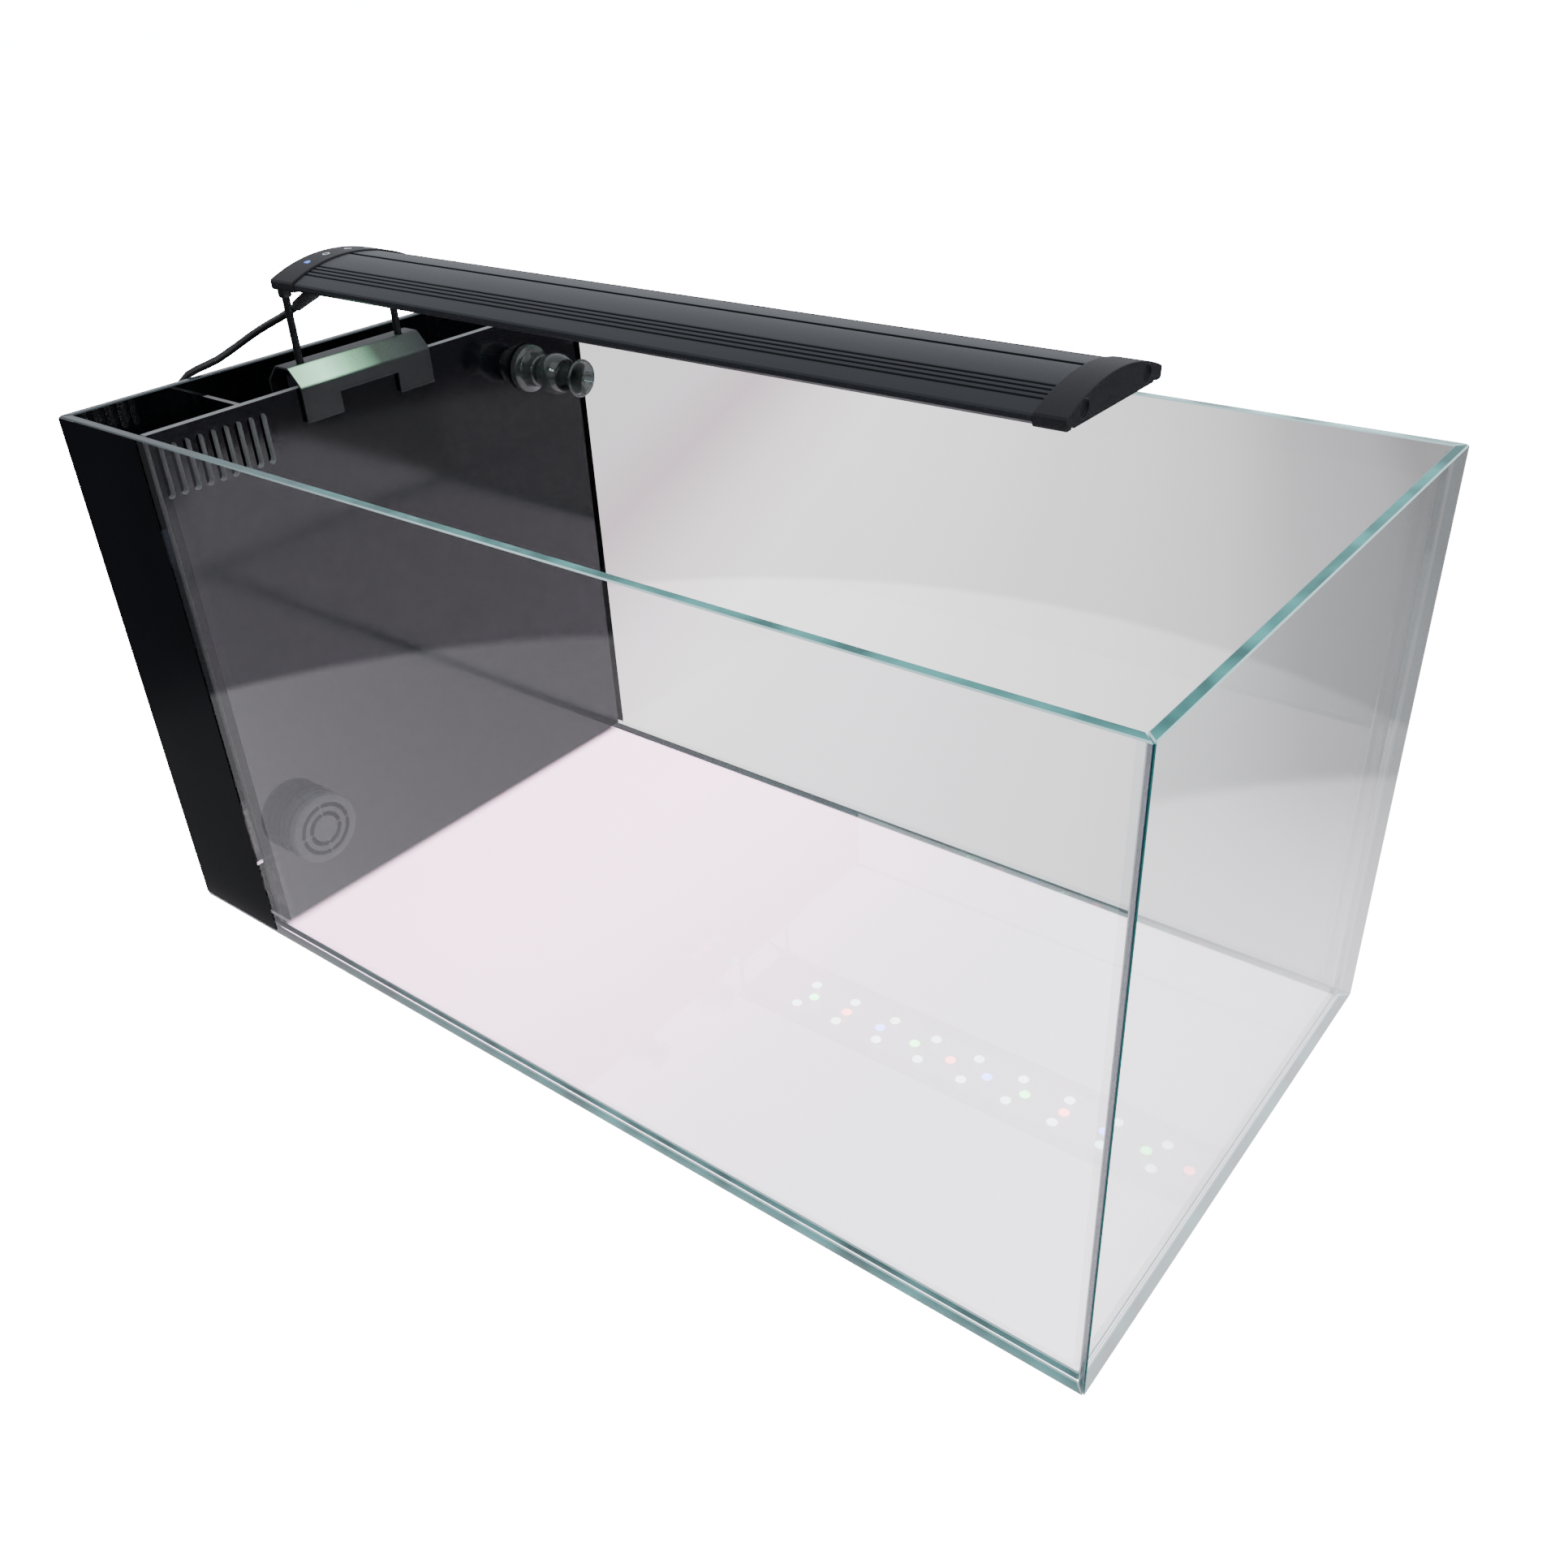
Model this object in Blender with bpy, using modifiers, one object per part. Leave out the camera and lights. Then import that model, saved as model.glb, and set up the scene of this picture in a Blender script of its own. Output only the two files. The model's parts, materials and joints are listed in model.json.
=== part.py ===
"""All-in-one rimless glass aquarium with a rear-left filter chamber and a clamp-on LED light.

Units are metres, +Z is up and the origin is the middle of the tank's footprint on its base.
The long side of the tank runs along X, the filter chamber is at -X and the viewing front at -Y.
"""
import math

import bpy
import bmesh
from mathutils import Matrix, Vector

# ---- tank -------------------------------------------------------------------------------
LENGTH = 0.600
DEPTH = 0.300
HEIGHT = 0.300
GLASS = 0.005
ARRIS = 0.0006
GAP = 0.0003
SUMP_WIDTH = 0.0623
PARTITION = 0.0045
FILM = 0.0002
FILM_FOOT = 0.003
FILM_RIM = 0.0008
BEAD = 0.0028
BAFFLE = 0.003
FRONT_CHAMBER = 0.073
REAR_CHAMBER = 0.109
BAFFLE_UNDERFLOW = 0.028
BAFFLE_TOP_DROP = 0.010
WEIR_DROP = 0.070

# ---- overflow comb, strainer and return in the partition --------------------------------
COMB_SLOTS = 9
COMB_PITCH = 0.00745
COMB_SLOT_WIDTH = 0.0042
COMB_SLOT_LENGTH = 0.0268
COMB_FIRST = 0.0103
COMB_DROP = 0.0067
STRAINER_Y = 0.0375
STRAINER_Z = 0.0605
STRAINER_R = 0.0212
STRAINER_BODY = 0.0090
STRAINER_CAP = 0.0052
STRAINER_PIPE_R = 0.0125
GASKET = 0.0012
NUT = 0.0060
THREAD_STICKS_OUT = 0.0100
RETURN_FROM_BACK = 0.0465
RETURN_DROP = 0.0290
RETURN_PIPE_R = 0.0085
RETURN_BORE_R = 0.0060
FLANGE_R = 0.0142
FLANGE = 0.0050
SOCKET_BALL_R = 0.0070
BULB_R = 0.0120
TIP_BALL_R = 0.0084
TIP_R = 0.0110

# ---- light and its bracket --------------------------------------------------------------
LIGHT_LENGTH = 0.4555
LIGHT_WIDTH = 0.075
LIGHT_CROWN = 0.0130
LIGHT_EDGE = 0.0053
LIGHT_CLEARANCE = 0.0472
LIGHT_FROM_FRONT = 0.138
CAP_LEFT = 0.0185
CAP_RIGHT = 0.0135
CAP_LIP = 0.0007
CHANNEL_WIDTH = 0.050
CHANNEL_DEPTH = 0.0040
BOARD = 0.0016
LENS = 0.0012
ROD_R = 0.0020
ROD_SPACING = 0.066
ROD_INSET = 0.0040
ROD_FROM_PARTITION = 0.0093
SOCKET_BOSS_R = 0.0033
SOCKET_BOSS = 0.0040
SHEET = 0.0012
BRACKET_LENGTH = 0.087
BRACKET_NOTCH = 0.0395
BRACKET_NOTCH_HEIGHT = 0.0112
BRACKET_TAB = 0.0186
BRACKET_RISE = 0.0086
BRACKET_SLOPE_RUN = 0.0082
BRACKET_FLAT = 0.0115
BRACKET_REACH = 0.0024
PAD = 0.0006
BLOCK = 0.0095
BLOCK_HEIGHT = 0.042
BLOCK_TOP = 0.0040
BLOCK_MARGIN = 0.0035
SCREW_SPACING = 0.036
SCREW_R = 0.0020

# ---- pump and filter media --------------------------------------------------------------
PUMP = (0.044, 0.050, 0.044)
PUMP_BASE = 0.0024
VOLUTE_R = 0.0190
VOLUTE = 0.0140
OUTLET_R = 0.0060
HOSE_R = 0.0085
HOSE_WALL = 0.0018
IMPELLER_R = 0.0130
SHAFT_R = 0.00125
SPONGE_HEIGHT = 0.130
SHELF_Z = 0.096
SHELF = 0.003
MEDIA_GAP = 0.0020
BASKET_HEIGHT = 0.150
BASKET_WALL = 0.0022

# ---- light cable: free route, then a coil and its plug ----------------------------------
CABLE_R = 0.0020
CABLE_ROUTE = (
    (-0.2436, -0.0359, 0.3357), (-0.2500, -0.0358, 0.3326), (-0.2600, -0.0363, 0.3280),
    (-0.2720, -0.0380, 0.3228), (-0.2820, -0.0420, 0.3173), (-0.2895, -0.0490, 0.3115),
    (-0.2948, -0.0575, 0.3065), (-0.2992, -0.0650, 0.3037), (-0.3040, -0.0705, 0.3010),
    (-0.3085, -0.0742, 0.2960), (-0.3115, -0.0762, 0.2880), (-0.3124, -0.0768, 0.2760),
    (-0.3124, -0.0760, 0.2500), (-0.3120, -0.0738, 0.2150), (-0.3114, -0.0700, 0.1750),
    (-0.3108, -0.0640, 0.1350), (-0.3103, -0.0560, 0.0980), (-0.3102, -0.0460, 0.0650),
    (-0.3108, -0.0345, 0.0400), (-0.3120, -0.0225, 0.0245), (-0.3132, -0.0105, 0.0160),
    (-0.3139, 0.0000, 0.0123), (-0.3140, 0.0052, 0.0115),
)
COIL_X, COIL_Y = -0.340, 0.020
COIL_LANES = 3
COIL_LIFT = 0.0015
COIL_MID_R = 0.022
TIE = 0.0010
TIE_WIDTH = 0.0080
PLUG_R = 0.0046
PLUG_LENGTH = 0.0260
PLUG_RELIEF = 0.0120
BARREL_R = 0.00275
BARREL_LENGTH = 0.0095
RELIEF_START = (-0.2200, -0.0368, 0.3474)
RELIEF_BASE_R = 0.0036
RELIEF_TIP_R = 0.0029

# ---- derived places ---------------------------------------------------------------------
LEFT = -LENGTH / 2
FRONT = -DEPTH / 2
BACK = DEPTH / 2
IN_LEFT = LEFT + GLASS
IN_FRONT = FRONT + GLASS
IN_BACK = BACK - GLASS
WALL_L = IN_LEFT + SUMP_WIDTH
WALL_R = WALL_L + PARTITION
SUMP_MID = (IN_LEFT + WALL_L) / 2
BAFFLE_A = IN_FRONT + FRONT_CHAMBER
BAFFLE_B = IN_BACK - REAR_CHAMBER
STRAINER = (FRONT + STRAINER_Y, STRAINER_Z)
RETURN = (BACK - RETURN_FROM_BACK, HEIGHT - RETURN_DROP)
LIGHT_Y = FRONT + LIGHT_FROM_FRONT
LIGHT_Z = HEIGHT + LIGHT_CLEARANCE
ROD_X = WALL_R - ROD_FROM_PARTITION
LIGHT_L = ROD_X - ROD_INSET
LIGHT_R = LIGHT_L + LIGHT_LENGTH
BODY_L = LIGHT_L + CAP_LEFT + GAP
BODY_R = LIGHT_R - CAP_RIGHT - GAP
ROUND = 24
SMALL_ROUND = 18

GROOVES = ((0.0010, 0.0024, 0.0016),) + tuple(
    (side * (0.0285 - 0.0028 * i), 0.0012, 0.0007) for side in (-1, 1) for i in range(4))

PALETTE = {
    "clear_glass": ((0.82, 0.93, 0.91, 0.3), 0.03, 0.0),
    "black_film": ((0.006, 0.006, 0.008, 1), 0.25, 0.0),
    "black_acrylic": ((0.010, 0.010, 0.013, 1), 0.12, 0.0),
    "clear_silicone": ((0.72, 0.78, 0.76, 1), 0.35, 0.0),
    "blue_white_acrylic": ((0.55, 0.68, 0.74, 1), 0.25, 0.0),
    "black_plastic": ((0.018, 0.018, 0.020, 1), 0.45, 0.0),
    "grey_plastic": ((0.19, 0.19, 0.21, 1), 0.50, 0.0),
    "smoke_plastic": ((0.16, 0.18, 0.18, 1), 0.08, 0.0),
    "black_rubber": ((0.015, 0.015, 0.016, 1), 0.70, 0.0),
    "dark_steel": ((0.075, 0.078, 0.082, 1), 0.35, 1.0),
    "black_aluminium": ((0.022, 0.023, 0.027, 1), 0.42, 0.6),
    "black_steel": ((0.02, 0.02, 0.022, 1), 0.30, 1.0),
    "bright_steel": ((0.55, 0.55, 0.56, 1), 0.25, 1.0),
    "white_board": ((0.80, 0.80, 0.78, 1), 0.40, 0.0),
    "clear_acrylic": ((0.90, 0.92, 0.95, 1), 0.05, 0.0),
    "gloss_black": ((0.004, 0.004, 0.006, 1), 0.08, 0.0),
    "white_ceramic": ((0.82, 0.81, 0.78, 1), 0.60, 0.0),
    "foam": ((0.035, 0.045, 0.075, 1), 0.95, 0.0),
    "stone_media": ((0.62, 0.55, 0.46, 1), 0.90, 0.0),
    "hose_silicone": ((0.30, 0.34, 0.34, 1), 0.35, 0.0),
    "cable_pvc": ((0.012, 0.012, 0.013, 1), 0.40, 0.0),
}


def clear_scene():
    for obj in list(bpy.data.objects):
        bpy.data.objects.remove(obj, do_unlink=True)


def new_collection(name):
    collection = bpy.data.collections.new(name)
    bpy.context.scene.collection.children.link(collection)
    return collection


def make_material(name):
    colour, roughness, metallic = PALETTE[name]
    material = bpy.data.materials.get(name) or bpy.data.materials.new(name)
    material.use_nodes = True
    shader = material.node_tree.nodes["Principled BSDF"]
    shader.inputs["Base Color"].default_value = colour
    shader.inputs["Roughness"].default_value = roughness
    shader.inputs["Metallic"].default_value = metallic
    return material


def add_object(name, data, material):
    obj = bpy.data.objects.new(name, data)
    PARTS.objects.link(obj)
    if material:
        data.materials.append(make_material(material))
    return obj


def mesh_object(name, bm, material, smooth_angle=None):
    mesh = bpy.data.meshes.new(name)
    bm.normal_update()
    bm.to_mesh(mesh)
    bm.free()
    if smooth_angle:
        mesh.shade_smooth()
        mesh.set_sharp_from_angle(angle=math.radians(smooth_angle))
    return add_object(name, mesh, material)


def bevel(obj, width, segments=1):
    modifier = obj.modifiers.new("edge", "BEVEL")
    modifier.width = width
    modifier.segments = segments
    modifier.limit_method = "ANGLE"
    return obj


def box(name, low, high, material=None, edge=0.0):
    """Box between two corners, with an optional chamfer on its edges."""
    low, high = Vector(low), Vector(high)
    bm = bmesh.new()
    bmesh.ops.create_cube(bm, size=1.0)
    bmesh.ops.scale(bm, vec=high - low, verts=bm.verts)
    bmesh.ops.translate(bm, vec=(low + high) / 2, verts=bm.verts)
    obj = mesh_object(name, bm, material)
    return bevel(obj, edge) if edge else obj


def along(direction):
    """Rotation that turns +Z onto a direction."""
    return Vector((0, 0, 1)).rotation_difference(Vector(direction)).to_matrix().to_4x4()


def rod(name, start, end, radius, material=None, end_radius=None, sides=ROUND):
    """Straight round bar or cone between two points."""
    start, end = Vector(start), Vector(end)
    axis = end - start
    bm = bmesh.new()
    bmesh.ops.create_cone(bm, cap_ends=True, segments=sides, radius1=radius,
                          radius2=radius if end_radius is None else end_radius, depth=axis.length)
    turn = Matrix.Translation((start + end) / 2) @ along(axis)
    bmesh.ops.transform(bm, matrix=turn, verts=bm.verts)
    return mesh_object(name, bm, material, 40)


def turned(name, profile, origin, axis, material, steps=ROUND):
    """Body of revolution: (radius, height) points down the outer side and up the bore."""
    bm = bmesh.new()
    verts = [bm.verts.new((radius, 0, height)) for radius, height in profile]
    for a, b in zip(verts, verts[1:]):
        bm.edges.new((a, b))
    if profile[0][0] > 0:
        bm.edges.new((verts[-1], verts[0]))
    obj = mesh_object(name, bm, material)
    screw = obj.modifiers.new("turn", "SCREW")
    screw.steps = screw.render_steps = steps
    screw.use_merge_vertices = True
    screw.merge_threshold = 0.00001
    screw.use_smooth_shade = False
    obj.matrix_world = Matrix.Translation(origin) @ along(axis)
    return obj


def extruded(name, outline, start, length, axes, material):
    """Flat outline pushed along a third axis; axes are the outline's two directions."""
    curve = bpy.data.curves.new(name + "_outline", "CURVE")
    curve.dimensions = "2D"
    curve.fill_mode = "BOTH"
    curve.extrude = length / 2
    spline = curve.splines.new("POLY")
    spline.points.add(len(outline) - 1)
    for point, (u, v) in zip(spline.points, outline):
        point.co = (u, v, 0, 1)
    spline.use_cyclic_u = True
    guide = bpy.data.objects.new(name + "_guide", curve)
    PARTS.objects.link(guide)
    first, second = Vector(axes[0]), Vector(axes[1])
    third = first.cross(second)
    turn = Matrix((first, second, third)).transposed().to_4x4()
    middle = Vector(start) + third * length / 2
    obj = baked(guide, name, material)
    obj.data.transform(Matrix.Translation(middle) @ turn)
    return obj


def baked(guide, name, material):
    """Turns a curve guide into a welded mesh object."""
    bpy.context.view_layer.update()
    evaluated = guide.evaluated_get(bpy.context.evaluated_depsgraph_get())
    mesh = bpy.data.meshes.new_from_object(evaluated)
    place = guide.matrix_world.copy()
    bpy.data.objects.remove(guide, do_unlink=True)
    bm = bmesh.new()
    bm.from_mesh(mesh)
    bmesh.ops.remove_doubles(bm, verts=bm.verts, dist=0.00001)
    bmesh.ops.recalc_face_normals(bm, faces=bm.faces)
    bm.to_mesh(mesh)
    bm.free()
    mesh.materials.clear()
    obj = add_object(name, mesh, material)
    obj.matrix_world = place
    return obj


def boolean(obj, tool, operation):
    """Cuts with or joins a tool, which then moves to the cutters' collection."""
    PARTS.objects.unlink(tool)
    CUTTERS.objects.link(tool)
    tool.hide_render = True
    tool.display_type = "WIRE"
    modifier = obj.modifiers.new(operation.lower(), "BOOLEAN")
    modifier.operation = operation
    modifier.solver = "EXACT"
    modifier.object = tool
    return obj


def cut(obj, *tools):
    for tool in tools:
        boolean(obj, tool, "DIFFERENCE")
    return obj


def join(obj, *tools):
    for tool in tools:
        boolean(obj, tool, "UNION")
    return obj


def smooth_points(points, spacing):
    """Evenly spaced points on a Catmull-Rom curve through the given points."""
    knots = [Vector(p) for p in points]
    knots = [2 * knots[0] - knots[1]] + knots + [2 * knots[-1] - knots[-2]]
    dense = []
    for a, b, c, d in zip(knots, knots[1:], knots[2:], knots[3:]):
        for step in range(20):
            t = step / 20
            dense.append(0.5 * (2 * b + (c - a) * t + (2 * a - 5 * b + 4 * c - d) * t * t
                                + (3 * b - a - 3 * c + d) * t ** 3))
    dense.append(knots[-2])
    total = sum((b - a).length for a, b in zip(dense, dense[1:]))
    count = max(2, round(total / spacing))
    result, walked, target = [dense[0]], 0.0, total / count
    for a, b in zip(dense, dense[1:]):
        length = (b - a).length
        while walked + length >= target and len(result) < count:
            result.append(a.lerp(b, (target - walked) / length))
            target += total / count
        walked += length
    return result + [dense[-1]]


def tube_curve(name, points, radius, material, capped=True, resolution=2):
    curve = bpy.data.curves.new(name, "CURVE")
    curve.dimensions = "3D"
    curve.bevel_depth = radius
    curve.bevel_resolution = resolution
    curve.use_fill_caps = capped
    spline = curve.splines.new("POLY")
    spline.points.add(len(points) - 1)
    for point, co in zip(spline.points, points):
        point.co = (*co, 1)
    return add_object(name, curve, material)


# ---- tank -------------------------------------------------------------------------------
def mitred_pane(name, outline):
    """Upright pane whose vertical ends are cut at 45 degrees, with ground arrises."""
    placed = [(x, y) for x, y in outline]
    pane = extruded(name, placed, (0, 0, 0), HEIGHT, ((1, 0, 0), (0, 1, 0)), "clear_glass")
    bevel(pane, ARRIS)


def build_panes():
    """Four walls mitred at the corners, round a bottom pane."""
    right, in_right = LENGTH / 2, LENGTH / 2 - GLASS
    joint = GAP * 0.75
    for name, outer, inner in (("glass_front", FRONT, IN_FRONT), ("glass_back", BACK, IN_BACK)):
        line = [(LEFT + joint, outer), (right - joint, outer), (in_right - joint, inner),
                (IN_LEFT + joint, inner)]
        mitred_pane(name, line if outer < inner else line[::-1])
    for name, outer, inner in (("glass_left", LEFT, IN_LEFT), ("glass_right", right, in_right)):
        line = [(outer, BACK - joint), (outer, FRONT + joint), (inner, IN_FRONT + joint),
                (inner, IN_BACK - joint)]
        mitred_pane(name, line if outer < inner else line[::-1])
    box("glass_bottom", (IN_LEFT + GAP, IN_FRONT + GAP, 0),
        (in_right - GAP, IN_BACK - GAP, GLASS), "clear_glass", ARRIS)


def build_films():
    """Black vinyl on the outside of the filter chamber's three glass faces."""
    low, high = FILM_FOOT, HEIGHT - FILM_RIM
    for name, face, side in (("film_front", FRONT, -1), ("film_back", BACK, 1)):
        near, far = face + side * GAP, face + side * (GAP + FILM)
        box(name, (LEFT + FILM_RIM, min(near, far), low), (WALL_R - FILM_RIM, max(near, far), high),
            "black_film")
    box("film_left", (LEFT - GAP - FILM, FRONT + FILM_RIM, low),
        (LEFT - GAP, BACK - FILM_RIM, high), "black_film")


def fillet(name, corner, towards, length, axis):
    """Triangular silicone fillet, its legs towards two walls, along an axis."""
    x, y, z = corner
    outline = [(0, 0), (BEAD * towards[0], 0), (0, BEAD * towards[1])]
    if axis == "Z":
        return extruded(name, outline, (x, y, z), length, ((1, 0, 0), (0, 1, 0)), "clear_silicone")
    if axis == "X":
        return extruded(name, outline, (x, y, z), length, ((0, 1, 0), (0, 0, 1)), "clear_silicone")
    flipped = [(v, u) for u, v in outline]
    return extruded(name, flipped, (x, y, z), length, ((0, 0, 1), (1, 0, 0)), "clear_silicone")


def build_silicone():
    """One clear bead that runs round the display tank's floor and up its two free corners."""
    floor = GLASS + GAP
    left, right = WALL_R + GAP, LENGTH / 2 - GLASS - GAP
    front, back = IN_FRONT + GAP, IN_BACK - GAP
    rise = HEIGHT - BEAD - floor
    step = GAP / 4
    bead = fillet("silicone_bead", (left, front, floor), (1, 1), right - left, "X")
    join(bead, fillet("bead_back", (left, back, floor), (-1, 1), right - left, "X"),
         fillet("bead_right", (right - step, front + step, floor + step), (-1, 1),
                back - front - 2 * step, "Y"),
         fillet("bead_corner_front", (right - 2 * step, front + 2 * step, floor + 2 * step),
                (-1, 1), rise, "Z"),
         fillet("bead_corner_back", (right - 2 * step, back - 2 * step, floor + 2 * step),
                (-1, -1), rise, "Z"))


def comb_slot(index):
    """Upright slot with round ends, cut through the partition."""
    y = FRONT + COMB_FIRST + index * COMB_PITCH
    radius = COMB_SLOT_WIDTH / 2
    top = HEIGHT - COMB_DROP - radius
    bottom = top - COMB_SLOT_LENGTH + 2 * radius
    outline = [(y + radius * math.cos(a), top + radius * math.sin(a))
               for a in (math.pi * k / 6 for k in range(7))]
    outline += [(y - radius * math.cos(a), bottom - radius * math.sin(a))
                for a in (math.pi * k / 6 for k in range(7))]
    return extruded(f"comb_slot_{index}", outline, (WALL_L - GAP, 0, 0), PARTITION + 2 * GAP,
                    ((0, 1, 0), (0, 0, 1)), None)


def wall_hole(name, place, radius):
    y, z = place
    return rod(name, (WALL_L - GAP, y, z), (WALL_R + GAP, y, z), radius)


def build_partition():
    wall = box("partition", (WALL_L, IN_FRONT + GAP, GLASS + GAP), (WALL_R, IN_BACK - GAP, HEIGHT),
               "black_acrylic")
    cut(wall, *(comb_slot(i) for i in range(COMB_SLOTS)))
    cut(wall, wall_hole("strainer_hole", STRAINER, STRAINER_PIPE_R + GAP),
        wall_hole("return_hole", RETURN, RETURN_PIPE_R + GAP))


def build_baffles():
    x_low, x_high = IN_LEFT + GAP, WALL_L - GAP
    box("baffle_front", (x_low, BAFFLE_A, BAFFLE_UNDERFLOW),
        (x_high, BAFFLE_A + BAFFLE, HEIGHT - BAFFLE_TOP_DROP), "blue_white_acrylic")
    box("baffle_rear", (x_low, BAFFLE_B - BAFFLE, GLASS + GAP),
        (x_high, BAFFLE_B, HEIGHT - WEIR_DROP), "black_acrylic")


def nut(name, place, radius, pipe_radius, sides):
    """Faceted nut on the chamber side of the partition."""
    y, z = place
    near, far = WALL_L - GAP - NUT, WALL_L - GAP
    body = rod(name, (near, y, z), (far, y, z), radius, "black_plastic", sides=sides)
    cut(bevel(body, 0.0006), rod(name + "_bore", (near - GAP, y, z), (far + GAP, y, z),
                                 pipe_radius + GAP))


# ---- strainer ---------------------------------------------------------------------------
def arc_slot(name, mid_radius, width, start, sweep, x_low, x_high):
    """Curved slot cutter in the plane of the strainer's face."""
    steps = 5
    angles = [start + sweep * k / steps for k in range(steps + 1)]
    outer, inner = mid_radius + width / 2, mid_radius - width / 2
    outline = [(outer * math.cos(a), outer * math.sin(a)) for a in angles]
    outline += [(inner * math.cos(a), inner * math.sin(a)) for a in reversed(angles)]
    y, z = STRAINER
    return extruded(name, [(y + u, z + v) for u, v in outline], (x_low, 0, 0), x_high - x_low,
                    ((0, 1, 0), (0, 0, 1)), None)


def build_strainer():
    y, z = STRAINER
    face = WALL_R + GASKET + 2 * GAP
    turned("strainer_gasket", [(STRAINER_R - 0.003, GASKET), (STRAINER_R - 0.003, 0),
                               (STRAINER_PIPE_R + GAP, 0), (STRAINER_PIPE_R + GAP, GASKET)],
           (WALL_R + GAP, y, z), (1, 0, 0), "black_rubber")
    tail = -(face - WALL_L) - THREAD_STICKS_OUT
    waist = STRAINER_R - 0.0022
    bore = STRAINER_PIPE_R - 0.0025
    turned("strainer_body", [(waist - 0.001, STRAINER_BODY), (waist, STRAINER_BODY - 0.001),
                             (waist, 0.0062), (STRAINER_R, 0.0048), (STRAINER_R, 0.001),
                             (STRAINER_R - 0.001, 0), (STRAINER_PIPE_R, 0),
                             (STRAINER_PIPE_R, tail), (bore, tail), (bore, STRAINER_BODY)],
           (face, y, z), (1, 0, 0), "black_plastic", 32)
    nut("strainer_nut", STRAINER, 0.0188, STRAINER_PIPE_R, 12)
    cap_face = face + STRAINER_BODY + GAP
    cap = turned("strainer_grille", [(0, STRAINER_CAP), (STRAINER_R - 0.0012, STRAINER_CAP),
                                     (STRAINER_R, STRAINER_CAP - 0.0012), (STRAINER_R, 0.0008),
                                     (STRAINER_R - 0.0008, 0), (STRAINER_R - 0.0030, 0),
                                     (STRAINER_R - 0.0030, 0.0022), (0, 0.0022)],
                 (cap_face, y, z), (1, 0, 0), "grey_plastic", 32)
    for ring, (radius, width) in enumerate(((0.0150, 0.0026), (0.0094, 0.0028))):
        half_spoke = 0.0016 / radius
        for quarter in range(4):
            start = quarter * math.pi / 2 + math.radians(2) + half_spoke
            cut(cap, arc_slot(f"grille_slot_{ring}_{quarter}", radius, width, start,
                              math.pi / 2 - 2 * half_spoke, cap_face - GAP,
                              cap_face + STRAINER_CAP + GAP))


# ---- return bulkhead and ball-jointed nozzle --------------------------------------------
def ball_arc(radius, centre, first, last, steps):
    """Profile points on a ball, by angle from the axis' positive end."""
    angles = [math.radians(first + (last - first) * k / steps) for k in range(steps + 1)]
    return [(radius * math.sin(a), centre + radius * math.cos(a)) for a in angles]


def build_return():
    y, z = RETURN
    axis = (1, 0, 0)
    tail = -(WALL_R + GAP - WALL_L) - THREAD_STICKS_OUT
    centre = FLANGE + 0.0055
    socket = SOCKET_BALL_R + GAP
    profile = [(0.0078, centre + 0.0040), (0.0095, centre + 0.0030), (0.0098, FLANGE + 0.0006),
               (FLANGE_R - 0.001, FLANGE), (FLANGE_R, FLANGE - 0.001), (FLANGE_R, 0.0008),
               (FLANGE_R - 0.0008, 0), (RETURN_PIPE_R, 0), (RETURN_PIPE_R, tail),
               (RETURN_BORE_R, tail), (RETURN_BORE_R, centre - 0.0045)]
    profile += ball_arc(socket, centre, 128, 58, 5)
    turned("return_flange", profile, (WALL_R + GAP, y, z), axis, "smoke_plastic", SMALL_ROUND)
    nut("return_nut", RETURN, 0.0136, RETURN_PIPE_R, 6)
    build_nozzle(WALL_R + GAP + centre, y, z)
    build_elbow(WALL_R + GAP + tail, y, z)


def build_nozzle(ball_x, y, z):
    """Middle link with a ball and a bulb, then the trumpet tip with its own ball."""
    axis = (1, 0, 0)
    tip_centre = 0.0152
    mouth = 0.0060
    bulb = ball_arc(BULB_R, tip_centre, 50, 128, 5)
    link = bulb + [(0.0042, 0.0068)] + ball_arc(SOCKET_BALL_R, 0, 40, 150, 5)
    bore = [(0.0026, link[-1][1]), (0.0026, tip_centre - 0.0082)]
    cavity = ball_arc(TIP_BALL_R + GAP, tip_centre, 155, 56, 5)
    turned("nozzle_link", link + bore + cavity, (ball_x, y, z), axis, "smoke_plastic", SMALL_ROUND)
    flare = [(TIP_R - 0.0006, 0.0210), (TIP_R, 0.0204), (TIP_R - 0.0006, 0.0192),
             (0.0083, 0.0160), (0.0066, 0.0130), (mouth, 0.0104)]
    tip_profile = flare + ball_arc(TIP_BALL_R, 0, 44, 150, 5)
    tip_profile += [(0.0032, tip_profile[-1][1]), (0.0034, 0.0120), (0.0058, 0.0165),
                    (TIP_R - 0.0020, 0.0206)]
    turned("nozzle_tip", tip_profile, (ball_x + tip_centre, y, z), axis, "smoke_plastic",
           SMALL_ROUND)


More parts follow.
